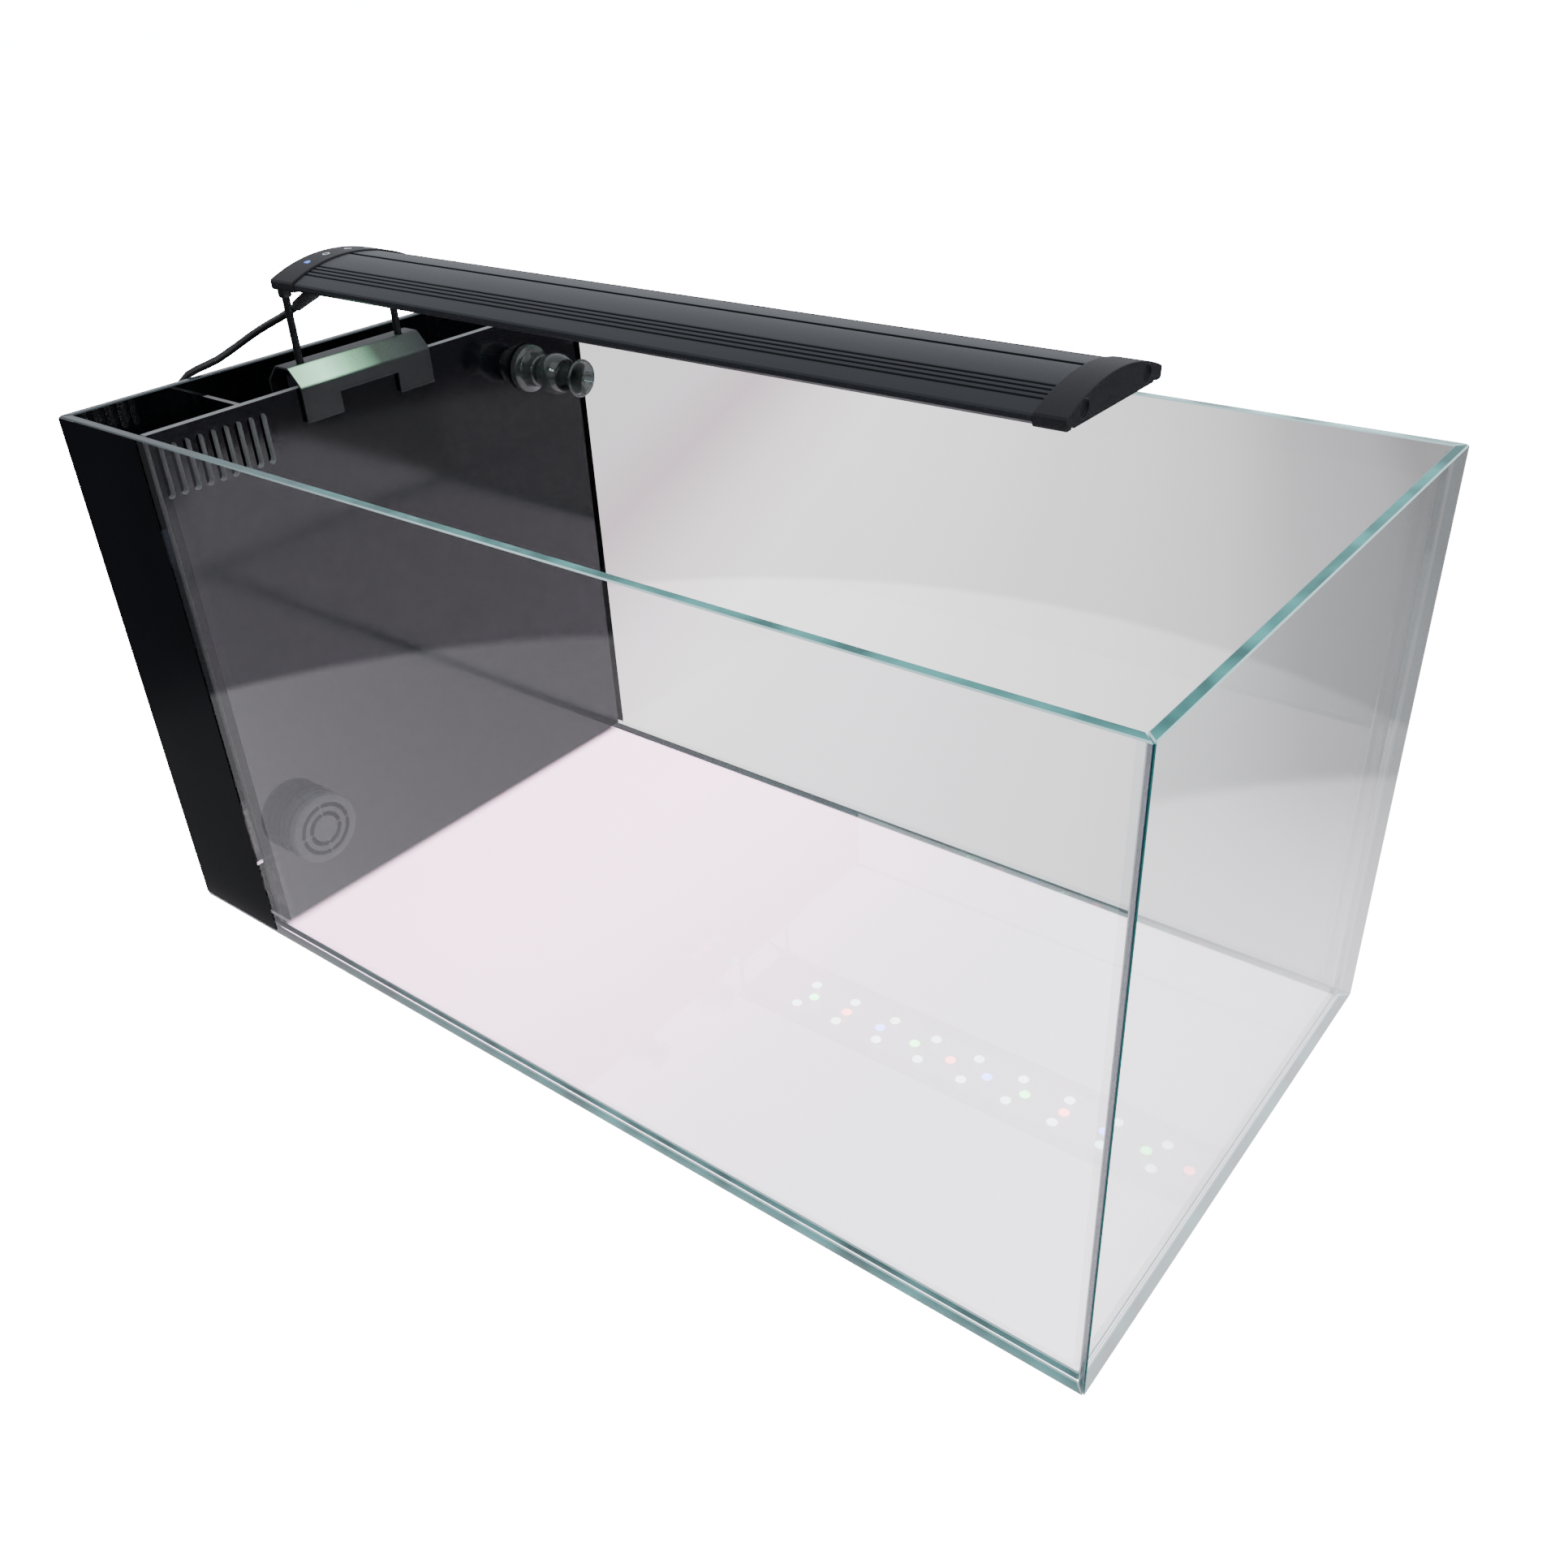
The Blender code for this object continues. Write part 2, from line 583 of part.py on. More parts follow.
def build_elbow(tail_x, y, z):
    """Elbow glued on the bulkhead's tail, with a barbed leg that points down to the pump."""
    start = tail_x - GAP
    bend_x = start - 0.0110
    elbow = rod("return_elbow", (start, y, z), (bend_x - RETURN_PIPE_R, y, z), RETURN_PIPE_R,
                "black_plastic")
    leg_end = z - 0.0260
    join(elbow, rod("elbow_leg", (bend_x, y, z + 0.001), (bend_x, y, leg_end), OUTLET_R))
    cut(elbow, rod("elbow_bore", (start + GAP, y, z), (bend_x, y, z), RETURN_BORE_R - 0.0015),
        rod("elbow_leg_bore", (bend_x, y, z + 0.002), (bend_x, y, leg_end - GAP),
            OUTLET_R - 0.0018))
    outlet = (SUMP_MID, pump_front() - GAP - VOLUTE / 2, pump_low() + PUMP[2] / 2 + VOLUTE_R + 0.008)
    top = Vector((bend_x, y, leg_end + 0.010))
    low = Vector(outlet) - Vector((0, 0, 0.0055))
    rise, grip = top.z - low.z, 0.014
    up = Vector((0, 0, 1))
    route = [low, low + up * grip, low + up * (rise * 0.2), low.lerp(top, 0.5),
             top - up * (rise * 0.2), top - up * grip, top]
    points = smooth_points(route, HOSE_R * 2.2)
    hose = baked(tube_curve("hose_guide", points, HOSE_R, None, capped=False, resolution=4),
                 "return_hose", "hose_silicone")
    wall = hose.modifiers.new("wall", "SOLIDIFY")
    wall.thickness = HOSE_WALL
    wall.offset = -1


# ---- pump -------------------------------------------------------------------------------
def pump_low():
    return GLASS + GAP + PUMP_BASE + GAP


def pump_front():
    return BAFFLE_B + REAR_CHAMBER / 2 - PUMP[1] / 2 + 0.004


def build_pump():
    low, front = pump_low(), pump_front()
    x, z = SUMP_MID, low + PUMP[2] / 2
    body = box("pump_body", (x - PUMP[0] / 2, front, low),
               (x + PUMP[0] / 2, front + PUMP[1], low + PUMP[2]), "black_plastic", 0.004)
    shaft_hole = 0.006
    cut(body, rod("pump_shaft_hole", (x, front - GAP, z), (x, front + shaft_hole, z),
                  SHAFT_R + GAP))
    join(body, rod("pump_cable_inlet", (x, front + PUMP[1] - 0.002, z + 0.012),
                   (x, front + PUMP[1] + 0.006, z + 0.012), 0.0045, end_radius=0.0035))
    rod("pump_shaft", (x, front - VOLUTE + 0.0035, z), (x, front + shaft_hole - GAP, z), SHAFT_R,
        "white_ceramic", sides=12)
    build_volute(x, front - GAP, z)
    build_impeller(x, front - GAP, z)
    base = box("pump_base", (x - PUMP[0] / 2 + 0.004, front + 0.004, GLASS + GAP),
               (x + PUMP[0] / 2 - 0.004, front + PUMP[1] - 0.004, GLASS + GAP + PUMP_BASE),
               "black_rubber")
    for sx in (-1, 1):
        for sy in (0, 1):
            cx = x + sx * (PUMP[0] / 2 - 0.006)
            cy = front + 0.006 + sy * (PUMP[1] - 0.012)
            join(base, rod(f"base_cup_{sx}_{sy}", (cx, cy, GLASS + GAP),
                           (cx, cy, GLASS + GAP + PUMP_BASE), 0.005, sides=16))


def build_volute(x, back, z):
    """Cup in front of the impeller with an eye, intake slots and an upright outlet."""
    wall = 0.0022
    cup = turned("pump_volute", [(VOLUTE_R - 0.001, VOLUTE), (VOLUTE_R, VOLUTE - 0.001),
                                 (VOLUTE_R, 0), (VOLUTE_R - wall, 0),
                                 (VOLUTE_R - wall, VOLUTE - wall), (0.0050, VOLUTE - wall),
                                 (0.0050, VOLUTE)],
                 (x, back, z), (0, -1, 0), "black_plastic")
    middle = back - VOLUTE / 2
    top = z + VOLUTE_R + 0.008
    join(cup, rod("outlet_spigot", (x, middle, z + VOLUTE_R - 0.0015), (x, middle, top), OUTLET_R))
    cut(cup, rod("outlet_bore", (x, middle, z + IMPELLER_R), (x, middle, top + GAP),
                 OUTLET_R - 0.0018))


def build_impeller(x, back, z):
    hub_r, hub = 0.0042, 0.0085
    bore = SHAFT_R + 0.0001
    start = back - 0.0012
    wheel = rod("pump_impeller", (x, start, z), (x, start - hub, z), hub_r, "white_ceramic",
                sides=20)
    for blade in range(3):
        angle = blade * math.pi / 3
        vane = box(f"vane_{blade}", (-IMPELLER_R, -hub + 0.001, -0.0008),
                   (IMPELLER_R, -0.0005, 0.0008))
        vane.matrix_world = Matrix.Translation((x, start, z)) @ Matrix.Rotation(angle, 4, "Y")
        join(wheel, vane)
    cut(wheel, rod("impeller_bore", (x, start + GAP, z), (x, start - hub - GAP, z), bore))


# ---- filter media -----------------------------------------------------------------------
def build_media():
    x_low, x_high = IN_LEFT + MEDIA_GAP, WALL_L - MEDIA_GAP
    y_low, y_high = IN_FRONT + MEDIA_GAP, BAFFLE_A - MEDIA_GAP
    shelf = box("media_shelf", (IN_LEFT + GAP, IN_FRONT + GAP, SHELF_Z),
                (WALL_L - GAP, BAFFLE_A - GAP, SHELF_Z + SHELF), "black_acrylic")
    for i in range(3):
        y = y_low + (y_high - y_low) * (i + 0.5) / 3
        cut(shelf, box(f"shelf_slot_{i}", (x_low + 0.008, y - 0.005, SHELF_Z - GAP),
                       (x_high - 0.008, y + 0.005, SHELF_Z + SHELF + GAP)))
    foam_z = SHELF_Z + SHELF + GAP
    box("filter_sponge", (x_low, y_low, foam_z), (x_high, y_high, foam_z + SPONGE_HEIGHT), "foam",
        0.002)
    y_low, y_high = BAFFLE_A + BAFFLE + MEDIA_GAP, BAFFLE_B - BAFFLE - MEDIA_GAP
    z_low = BAFFLE_UNDERFLOW
    build_basket(x_low, x_high, y_low, y_high, z_low)


def build_basket(x_low, x_high, y_low, y_high, z_low):
    """Open-topped basket with feet, slotted long sides and a cross handle."""
    wall, top = BASKET_WALL, z_low + BASKET_HEIGHT
    basket = box("media_basket", (x_low, y_low, z_low), (x_high, y_high, top), "black_plastic")
    cut(basket, box("basket_inside", (x_low + wall, y_low + wall, z_low + wall),
                    (x_high - wall, y_high - wall, top + wall)))
    slots = 4
    for i in range(slots):
        z = z_low + BASKET_HEIGHT * (i + 0.7) / (slots + 1)
        cut(basket, box(f"basket_slot_{i}", (x_low - wall, y_low + 0.012, z),
                        (x_high + wall, y_high - 0.012, z + 0.010)))
    middle = (y_low + y_high) / 2
    cut(basket, box("basket_floor_slot", (x_low + 0.012, middle - 0.02, z_low - wall),
                    (x_high - 0.012, middle + 0.02, z_low + 2 * wall)))
    foot = GLASS + GAP
    for name, y in (("basket_foot_front", y_low), ("basket_foot_back", y_high - 0.006)):
        join(basket, box(name, (x_low, y, foot), (x_high, y + 0.006, z_low + wall / 2)))
    join(basket, box("basket_handle", (x_low + wall / 2, middle - 0.004, top - 0.003),
                     (x_high - wall / 2, middle + 0.004, top)))
    inset = wall + 0.001
    box("bio_block", (x_low + inset, y_low + inset, z_low + wall + GAP),
        (x_high - inset, y_high - inset, top - 0.020), "stone_media", 0.003)


# ---- bracket ----------------------------------------------------------------------------
def bracket_profile():
    """Centre-free outer line of the folded sheet, from the tank-side tabs over to the far leg."""
    x = WALL_R + BRACKET_REACH
    top = HEIGHT + 0.0007 + BRACKET_RISE
    shoulder = top - BRACKET_RISE
    flat = x - BRACKET_SLOPE_RUN
    far_flat = flat - BRACKET_FLAT
    far = far_flat - BRACKET_SLOPE_RUN
    return [(x, HEIGHT - BRACKET_TAB), (x, shoulder), (flat, top), (far_flat, top),
            (far, shoulder), (far, HEIGHT - BRACKET_TAB)]


def build_bracket_plate():
    y_low = LIGHT_Y - BRACKET_LENGTH / 2
    line = bracket_profile()
    bm = bmesh.new()
    near = [bm.verts.new((x, y_low, z)) for x, z in line]
    far = [bm.verts.new((x, y_low + BRACKET_LENGTH, z)) for x, z in line]
    for a, b, c, d in zip(near, near[1:], far[1:], far):
        bm.faces.new((a, d, c, b))
    plate = mesh_object("bracket_plate", bm, "dark_steel")
    fold = plate.modifiers.new("sheet", "SOLIDIFY")
    fold.thickness = SHEET
    fold.offset = -1
    fold.use_even_offset = True
    reach = SHEET * 2
    x, z = line[0]
    cut(plate, box("bracket_notch", (x - reach, LIGHT_Y - BRACKET_NOTCH / 2, z - reach),
                   (x + reach, LIGHT_Y + BRACKET_NOTCH / 2, z + BRACKET_NOTCH_HEIGHT)))
    top, leg = line[2][1], line[-1][0]
    for side in (-1, 1):
        y = LIGHT_Y + side * ROD_SPACING / 2
        cut(plate, rod(f"rod_hole_{side}", (ROD_X, y, top - reach), (ROD_X, y, top + reach),
                       ROD_R + GAP),
            rod(f"key_hole_{side}", (leg - reach, y, screw_z()), (leg + reach, y, screw_z()),
                0.0026))
        y = LIGHT_Y + side * SCREW_SPACING / 2
        cut(plate, rod(f"screw_hole_{side}", (leg - reach, y, screw_z()),
                       (leg + reach, y, screw_z()), SCREW_R + GAP))


def screw_z():
    return HEIGHT - 0.0070


def block_span():
    """Left and right faces of the clamp block, snug against the partition."""
    right = WALL_L - GAP
    return right - BLOCK, right


def build_clamp():
    left, right = block_span()
    half = BRACKET_LENGTH / 2 - BLOCK_MARGIN
    top, low = HEIGHT + BLOCK_TOP, HEIGHT + BLOCK_TOP - BLOCK_HEIGHT
    block = box("clamp_block", (left, LIGHT_Y - half, low), (right, LIGHT_Y + half, top),
                "black_aluminium", 0.0005)
    floor = low + 0.0025
    leg_x = bracket_profile()[-1][0]
    for side, name in ((-1, "front"), (1, "rear")):
        y = LIGHT_Y + side * ROD_SPACING / 2
        cut(block, rod(f"rod_bore_{name}", (ROD_X, y, floor), (ROD_X, y, top + GAP),
                       ROD_R + 0.00015),
            rod(f"lock_bore_{name}", (left - GAP, y, screw_z()), (ROD_X, y, screw_z()), SCREW_R))
        rod(f"rod_lock_{name}", (left + 0.0004, y, screw_z()),
            (ROD_X - ROD_R - GAP, y, screw_z()), SCREW_R - 0.0002, "black_steel", sides=16)
        build_rod(name, y, floor + GAP)
        build_thumbscrew(name, LIGHT_Y + side * SCREW_SPACING / 2, left - GAP, leg_x)
        build_pad(name, side)


def build_rod(name, y, foot):
    rod(f"light_rod_{name}", (ROD_X, y, foot), (ROD_X, y, LIGHT_Z + 0.0042), ROD_R, "black_steel",
        sides=16)


def build_thumbscrew(name, y, tip_x, leg_x):
    """Knurled head outside the far leg, its shank pressing the clamp block."""
    z = screw_z()
    head = leg_x - tip_x - 0.0030
    turned(f"thumb_screw_{name}", [(0, 0), (SCREW_R - 0.0004, 0), (SCREW_R, -0.0006),
                                   (SCREW_R, head), (0.0055, head), (0.0062, head - 0.0007),
                                   (0.0062, head - 0.0060), (0.0055, head - 0.0067),
                                   (0, head - 0.0067)],
           (tip_x, y, z), (1, 0, 0), "black_steel", 20)


def build_pad(name, side):
    """Rubber pad between a tank-side tab and the partition."""
    half_notch, half = BRACKET_NOTCH / 2 + 0.002, BRACKET_LENGTH / 2 - 0.002
    y_low, y_high = sorted((LIGHT_Y + side * half_notch, LIGHT_Y + side * half))
    box(f"bracket_pad_{name}", (WALL_R + GAP, y_low, HEIGHT - BRACKET_TAB + 0.001),
        (WALL_R + GAP + PAD, y_high, HEIGHT - 0.0015), "black_rubber")


# ---- light ------------------------------------------------------------------------------
def crown(y, half, edge, top):
    """Height of the light's arched top above its underside."""
    sagitta = top - edge
    radius = (half * half + sagitta * sagitta) / (2 * sagitta)
    return top - radius + math.sqrt(radius * radius - y * y)


def top_line(half, edge, top, grooves=()):
    """Arch points from +Y to -Y, dropping into each groove."""
    steps = 14
    points = []
    for k in range(steps + 1):
        y = half - 2 * half * k / steps
        if not any(abs(y - middle) < width / 2 + 0.0004 for middle, width, _ in grooves):
            points.append((y, crown(y, half, edge, top)))
    for middle, width, depth in grooves:
        for side in (1, -1):
            y = middle + side * width / 2
            z = crown(y, half, edge, top)
            drop = [(y, z), (y - side * 0.00001, z - depth)]
            points += drop if side > 0 else drop[::-1]
    return sorted(points, key=lambda point: -point[0])


def cap_outline(notch):
    """End cap's section, with a drip notch near each lower edge where there is one."""
    half = LIGHT_WIDTH / 2
    base = [(-half, 0.0012), (-half + 0.0010, 0)]
    if notch:
        base += [(-half + 0.0042, 0), (-half + 0.0042, 0.0010), (-half + 0.0062, 0.0010),
                 (-half + 0.0062, 0)]
    mirror = [(-y, z) for y, z in reversed(base)]
    side = [(half, LIGHT_EDGE - 0.0008)]
    arch = top_line(half - 0.0006, LIGHT_EDGE, LIGHT_CROWN)
    return base + mirror + side + arch + [(-half, LIGHT_EDGE - 0.0008)]


def housing_outline():
    lip = CAP_LIP
    half, channel = LIGHT_WIDTH / 2 - lip, CHANNEL_WIDTH / 2
    depth, duct, duct_half = lip + CHANNEL_DEPTH, lip + CHANNEL_DEPTH + 0.0030, 0.019
    base = [(-half, lip + 0.0012), (-half + 0.0009, lip), (-channel, lip), (-channel, depth),
            (-duct_half, depth), (-duct_half, duct)]
    mirror = [(-y, z) for y, z in reversed(base)]
    edge, top = LIGHT_EDGE - lip, LIGHT_CROWN - lip
    arch = top_line(half - 0.0006, edge, top, GROOVES)
    return base + mirror + [(half, edge - 0.0008)] + arch + [(-half, edge - 0.0008)]


def light_slice(name, outline, x, length, material):
    placed = [(LIGHT_Y + y, LIGHT_Z + z) for y, z in outline]
    return extruded(name, placed, (x, 0, 0), length, ((0, 1, 0), (0, 0, 1)), material)


def touch_strip(name, x_low, x_high, half, top_gap, depth, material=None):
    """Strip that follows the arch of the left cap's top."""
    steps = 10
    ys = [half - 2 * half * k / steps for k in range(steps + 1)]
    arch = [(y, crown(y, LIGHT_WIDTH / 2 - 0.0006, LIGHT_EDGE, LIGHT_CROWN)) for y in ys]
    outline = [(y, z + top_gap) for y, z in arch] + [(y, z - depth) for y, z in reversed(arch)]
    return light_slice(name, outline[::-1], x_low, x_high - x_low, material)


def build_light():
    housing = light_slice("light_housing", housing_outline(), BODY_L, BODY_R - BODY_L,
                          "black_aluminium")
    left = light_slice("light_cap_left", cap_outline(False), LIGHT_L, CAP_LEFT, "black_plastic")
    right = light_slice("light_cap_right", cap_outline(True), LIGHT_R - CAP_RIGHT, CAP_RIGHT,
                        "black_plastic")
    low = LIGHT_Z + CAP_LIP
    half = CHANNEL_WIDTH / 2
    box("led_lens", (BODY_L + GAP, LIGHT_Y - half + GAP, low),
        (BODY_R - GAP, LIGHT_Y + half - GAP, low + LENS), "clear_acrylic")
    board_top = low + CHANNEL_DEPTH - GAP
    box("led_board", (BODY_L + 0.001, LIGHT_Y - half + 0.001, board_top - BOARD),
        (BODY_R - 0.001, LIGHT_Y + half - 0.001, board_top), "white_board")
    build_rod_sockets(left)
    build_cap_screws(housing, left, LIGHT_L, 1, CAP_LEFT, 0.0280, "left")
    build_touch_keys(left)
    build_cap_screws(housing, right, LIGHT_R, -1, CAP_RIGHT, 0.0335, "right")
    for side in (-1, 1):
        y = LIGHT_Y + side * 0.0245
        cut(right, rod(f"cap_recess_{side}", (LIGHT_R - 0.0010, y, LIGHT_Z + 0.0052),
                       (LIGHT_R + GAP, y, LIGHT_Z + 0.0052), 0.0034))


def build_touch_keys(cap):
    x_low, x_high, half = LIGHT_L + 0.004, LIGHT_L + 0.0145, 0.025
    touch_strip("touch_keys", x_low, x_high, half, -0.00005, 0.0008, "gloss_black")
    cut(cap, touch_strip("touch_pocket", x_low - GAP, x_high + GAP, half + GAP, 0.002,
                         0.0008 + GAP))


def build_rod_sockets(cap):
    for side in (-1, 1):
        y = LIGHT_Y + side * ROD_SPACING / 2
        join(cap, rod(f"socket_boss_{side}", (ROD_X, y, LIGHT_Z - SOCKET_BOSS),
                      (ROD_X, y, LIGHT_Z + 0.002), SOCKET_BOSS_R, sides=20))
        cut(cap, rod(f"socket_bore_{side}", (ROD_X, y, LIGHT_Z - SOCKET_BOSS - GAP),
                     (ROD_X, y, LIGHT_Z + 0.0045), ROD_R + GAP, sides=20))


def build_cap_screws(housing, cap, face, inward, cap_length, y_offset, name):
    """Two countersunk screws that hold one end cap on the housing."""
    shank, head_r, head = 0.0011, 0.0017, 0.0012
    deep = cap_length + 0.0060
    z = LIGHT_Z + 0.0034
    axis = (-inward, 0, 0)
    for side, where in ((-1, "front"), (1, "rear")):
        y = LIGHT_Y + side * y_offset
        start, end = (face - inward * GAP, y, z), (face + inward * (deep + GAP), y, z)
        cut(cap, rod(f"screw_path_{name}_{where}", start, end, shank + GAP, sides=12),
            rod(f"screw_seat_{name}_{where}", start, (face + inward * (head + 2 * GAP), y, z),
                head_r + GAP, sides=16))
        cut(housing, rod(f"screw_bore_{name}_{where}", start, end, shank + GAP, sides=12))
        turned(f"cap_screw_{name}_{where}",
               [(0, -GAP), (head_r - 0.0003, -GAP), (head_r, -GAP - 0.0003), (head_r, -head),
                (shank, -head - 0.0002), (shank, -deep + GAP), (0, -deep + GAP)],
               (face, y, z), axis, "bright_steel", 12)


# ---- cable ------------------------------------------------------------------------------
def build_relief():
    """Tapered strain relief that slants out from under the light."""
    start, end = Vector(RELIEF_START), Vector(CABLE_ROUTE[0])
    direction = (end - start).normalized()
    tip = end - direction * GAP
    relief = rod("strain_relief", start - direction * 0.004, tip, RELIEF_BASE_R, "black_rubber",
                 end_radius=RELIEF_TIP_R, sides=20)
    flush = LIGHT_Z - GAP
    cut(relief, box("relief_trim", (start.x - 0.03, start.y - 0.02, flush),
                    (start.x + 0.03, start.y + 0.02, flush + 0.02)))


def build_cable():
    points = smooth_points(CABLE_ROUTE, CABLE_R * 5)
    tube_curve("light_cable", points, CABLE_R, "cable_pvc")
    half = CABLE_R * COIL_LANES
    low, high = COIL_LIFT, COIL_LIFT + 2 * half
    inner, outer = COIL_MID_R - half, COIL_MID_R + half
    soft = 0.0015
    turned("cable_coil", [(outer - soft, high), (outer, high - soft), (outer, low + soft),
                          (outer - soft, low), (inner + soft, low), (inner, low + soft),
                          (inner, high - soft), (inner + soft, high)],
           (COIL_X, COIL_Y, 0), (0, 0, 1), "cable_pvc", 32)
    chord = math.sqrt((inner * 0.99) ** 2 - (TIE_WIDTH / 2) ** 2)
    near, far = COIL_Y + chord - GAP, COIL_Y + outer + GAP
    tie = box("coil_tie", (COIL_X - TIE_WIDTH / 2, near - TIE, low - GAP - TIE),
              (COIL_X + TIE_WIDTH / 2, far + TIE, high + GAP + TIE), "black_rubber")
    cut(tie, box("tie_loop", (COIL_X - TIE_WIDTH, near, low - GAP),
                 (COIL_X + TIE_WIDTH, far, high + GAP)))


def build_plug():
    """Round low-voltage plug that lies beside the coil, its relief towards the coil."""
    x = COIL_X - COIL_MID_R - (COIL_LANES - 1) * CABLE_R
    y, z = CABLE_ROUTE[-1][1] - 0.0035, PLUG_R + GAP
    length = PLUG_RELIEF + PLUG_LENGTH
    shoulder = PLUG_RELIEF
    turned("plug_body", [(0, length), (PLUG_R - 0.0008, length), (PLUG_R, length - 0.0008),
                         (PLUG_R, shoulder + 0.0060), (PLUG_R - 0.0004, shoulder + 0.0052),
                         (PLUG_R - 0.0004, shoulder + 0.0044), (PLUG_R, shoulder + 0.0036),
                         (PLUG_R, shoulder), (CABLE_R + 0.0012, shoulder - 0.0020),
                         (CABLE_R + 0.0008, 0), (0, 0)],
           (x, y, z), (0, -1, 0), "cable_pvc", 20)
    end = y - length - GAP
    pin_r = 0.0011
    turned("plug_barrel", [(BARREL_R - 0.0003, BARREL_LENGTH), (BARREL_R, BARREL_LENGTH - 0.0003),
                           (BARREL_R, 0), (pin_r, 0), (pin_r, BARREL_LENGTH)],
           (x, end, z), (0, -1, 0), "bright_steel", 20)


clear_scene()
PARTS = new_collection("aquarium")
CUTTERS = new_collection("cutters")
build_panes()
build_films()
build_silicone()
build_partition()
build_baffles()
build_strainer()
build_return()
build_pump()
build_media()
build_bracket_plate()
build_clamp()
build_light()
build_relief()
build_cable()
build_plug()
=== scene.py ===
"""Looks of an all-in-one rimless aquarium: glass tank, black filter chamber and clamp-on light.

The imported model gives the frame. Every visible piece gets a procedural material. The light, the
cable and the fittings are rebuilt here in finer mesh, and each of those pieces rides on the body
that carries it.
"""
from __future__ import annotations

import json
import logging
import math
from dataclasses import dataclass
from enum import Enum
from typing import ClassVar, Iterable, Optional, Sequence

import bmesh
import bpy
from mathutils import Matrix, Vector

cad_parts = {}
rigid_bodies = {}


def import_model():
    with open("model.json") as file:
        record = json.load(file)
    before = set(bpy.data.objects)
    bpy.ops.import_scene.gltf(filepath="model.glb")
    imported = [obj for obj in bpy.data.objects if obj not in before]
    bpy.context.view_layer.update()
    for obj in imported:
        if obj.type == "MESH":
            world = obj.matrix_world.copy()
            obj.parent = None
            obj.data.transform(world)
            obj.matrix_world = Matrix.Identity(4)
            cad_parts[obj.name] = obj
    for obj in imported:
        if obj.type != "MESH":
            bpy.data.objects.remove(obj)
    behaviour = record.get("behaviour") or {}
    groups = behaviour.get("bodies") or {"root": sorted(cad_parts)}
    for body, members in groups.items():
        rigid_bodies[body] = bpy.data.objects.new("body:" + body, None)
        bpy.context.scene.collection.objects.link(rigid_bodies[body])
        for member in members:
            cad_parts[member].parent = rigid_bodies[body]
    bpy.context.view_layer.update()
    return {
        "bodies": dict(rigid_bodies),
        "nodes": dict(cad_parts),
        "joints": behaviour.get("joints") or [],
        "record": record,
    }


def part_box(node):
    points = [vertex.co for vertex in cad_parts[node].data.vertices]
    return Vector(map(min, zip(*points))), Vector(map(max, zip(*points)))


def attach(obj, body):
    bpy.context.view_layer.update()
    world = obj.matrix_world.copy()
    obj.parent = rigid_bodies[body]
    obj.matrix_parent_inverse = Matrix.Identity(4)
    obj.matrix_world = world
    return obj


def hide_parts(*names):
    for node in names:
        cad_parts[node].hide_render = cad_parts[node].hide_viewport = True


LOG = logging.getLogger("aquarium")
Point = tuple[float, float, float]
Pair = tuple[float, float]
Colour = tuple[float, float, float]

# ---- cable route, the same points as the model's ------------------------------------------
CABLE_ROUTE: tuple[Point, ...] = (
    (-0.2436, -0.0359, 0.3357), (-0.2500, -0.0358, 0.3326), (-0.2600, -0.0363, 0.3280),
    (-0.2720, -0.0380, 0.3228), (-0.2820, -0.0420, 0.3173), (-0.2895, -0.0490, 0.3115),
    (-0.2948, -0.0575, 0.3065), (-0.2992, -0.0650, 0.3037), (-0.3040, -0.0705, 0.3010),
    (-0.3085, -0.0742, 0.2960), (-0.3115, -0.0762, 0.2880), (-0.3124, -0.0768, 0.2760),
    (-0.3124, -0.0760, 0.2500), (-0.3120, -0.0738, 0.2150), (-0.3114, -0.0700, 0.1750),
    (-0.3108, -0.0640, 0.1350), (-0.3103, -0.0560, 0.0980), (-0.3102, -0.0460, 0.0650),
    (-0.3108, -0.0345, 0.0400), (-0.3120, -0.0225, 0.0245), (-0.3132, -0.0105, 0.0160),
    (-0.3139, 0.0000, 0.0123), (-0.3140, 0.0052, 0.0115),
)
RELIEF_START: Point = (-0.2200, -0.0368, 0.3474)


class Axis(Enum):
    """World axes, as unit vectors."""

    X = (1.0, 0.0, 0.0)
    Y = (0.0, 1.0, 0.0)
    Z = (0.0, 0.0, 1.0)


class Body(str, Enum):
    """The model's moving bodies."""

    TANK = "tank"
    LIGHT = "light"
    CAP = "strainer_cap"
    LINK = "nozzle_link"
    TIP = "nozzle_tip"


@dataclass(frozen=True)
class CameraFit:
    """Pinhole camera.

    Attributes:
        place: Where it stands.
        heading: Direction it looks in, in degrees from +X towards +Y.
        tilt: How far it looks up, in degrees.
        roll: Its turn about its own axis, in degrees.
        lens: Focal length in millimetres.
        shift: Lens shift, as shares of the frame's width.
    """

    place: Point = (0.44081, -0.49185, 0.51147)
    heading: float = 129.3805
    tilt: float = -32.4549
    roll: float = -3.0110
    lens: float = 33.15
    shift: Pair = (0.0029, 0.0122)


@dataclass(frozen=True)
class SoftLight:
    """One large area lamp.

    Attributes:
        name: Its name.
        place: Where it stands.
        target: What it points at.
        size: Side of its square.
        power: Its power in watts.
        colour: Its light.
    """

    name: str
    place: Point
    target: Point
    size: float
    power: float
    colour: Colour = (1.0, 1.0, 1.0)


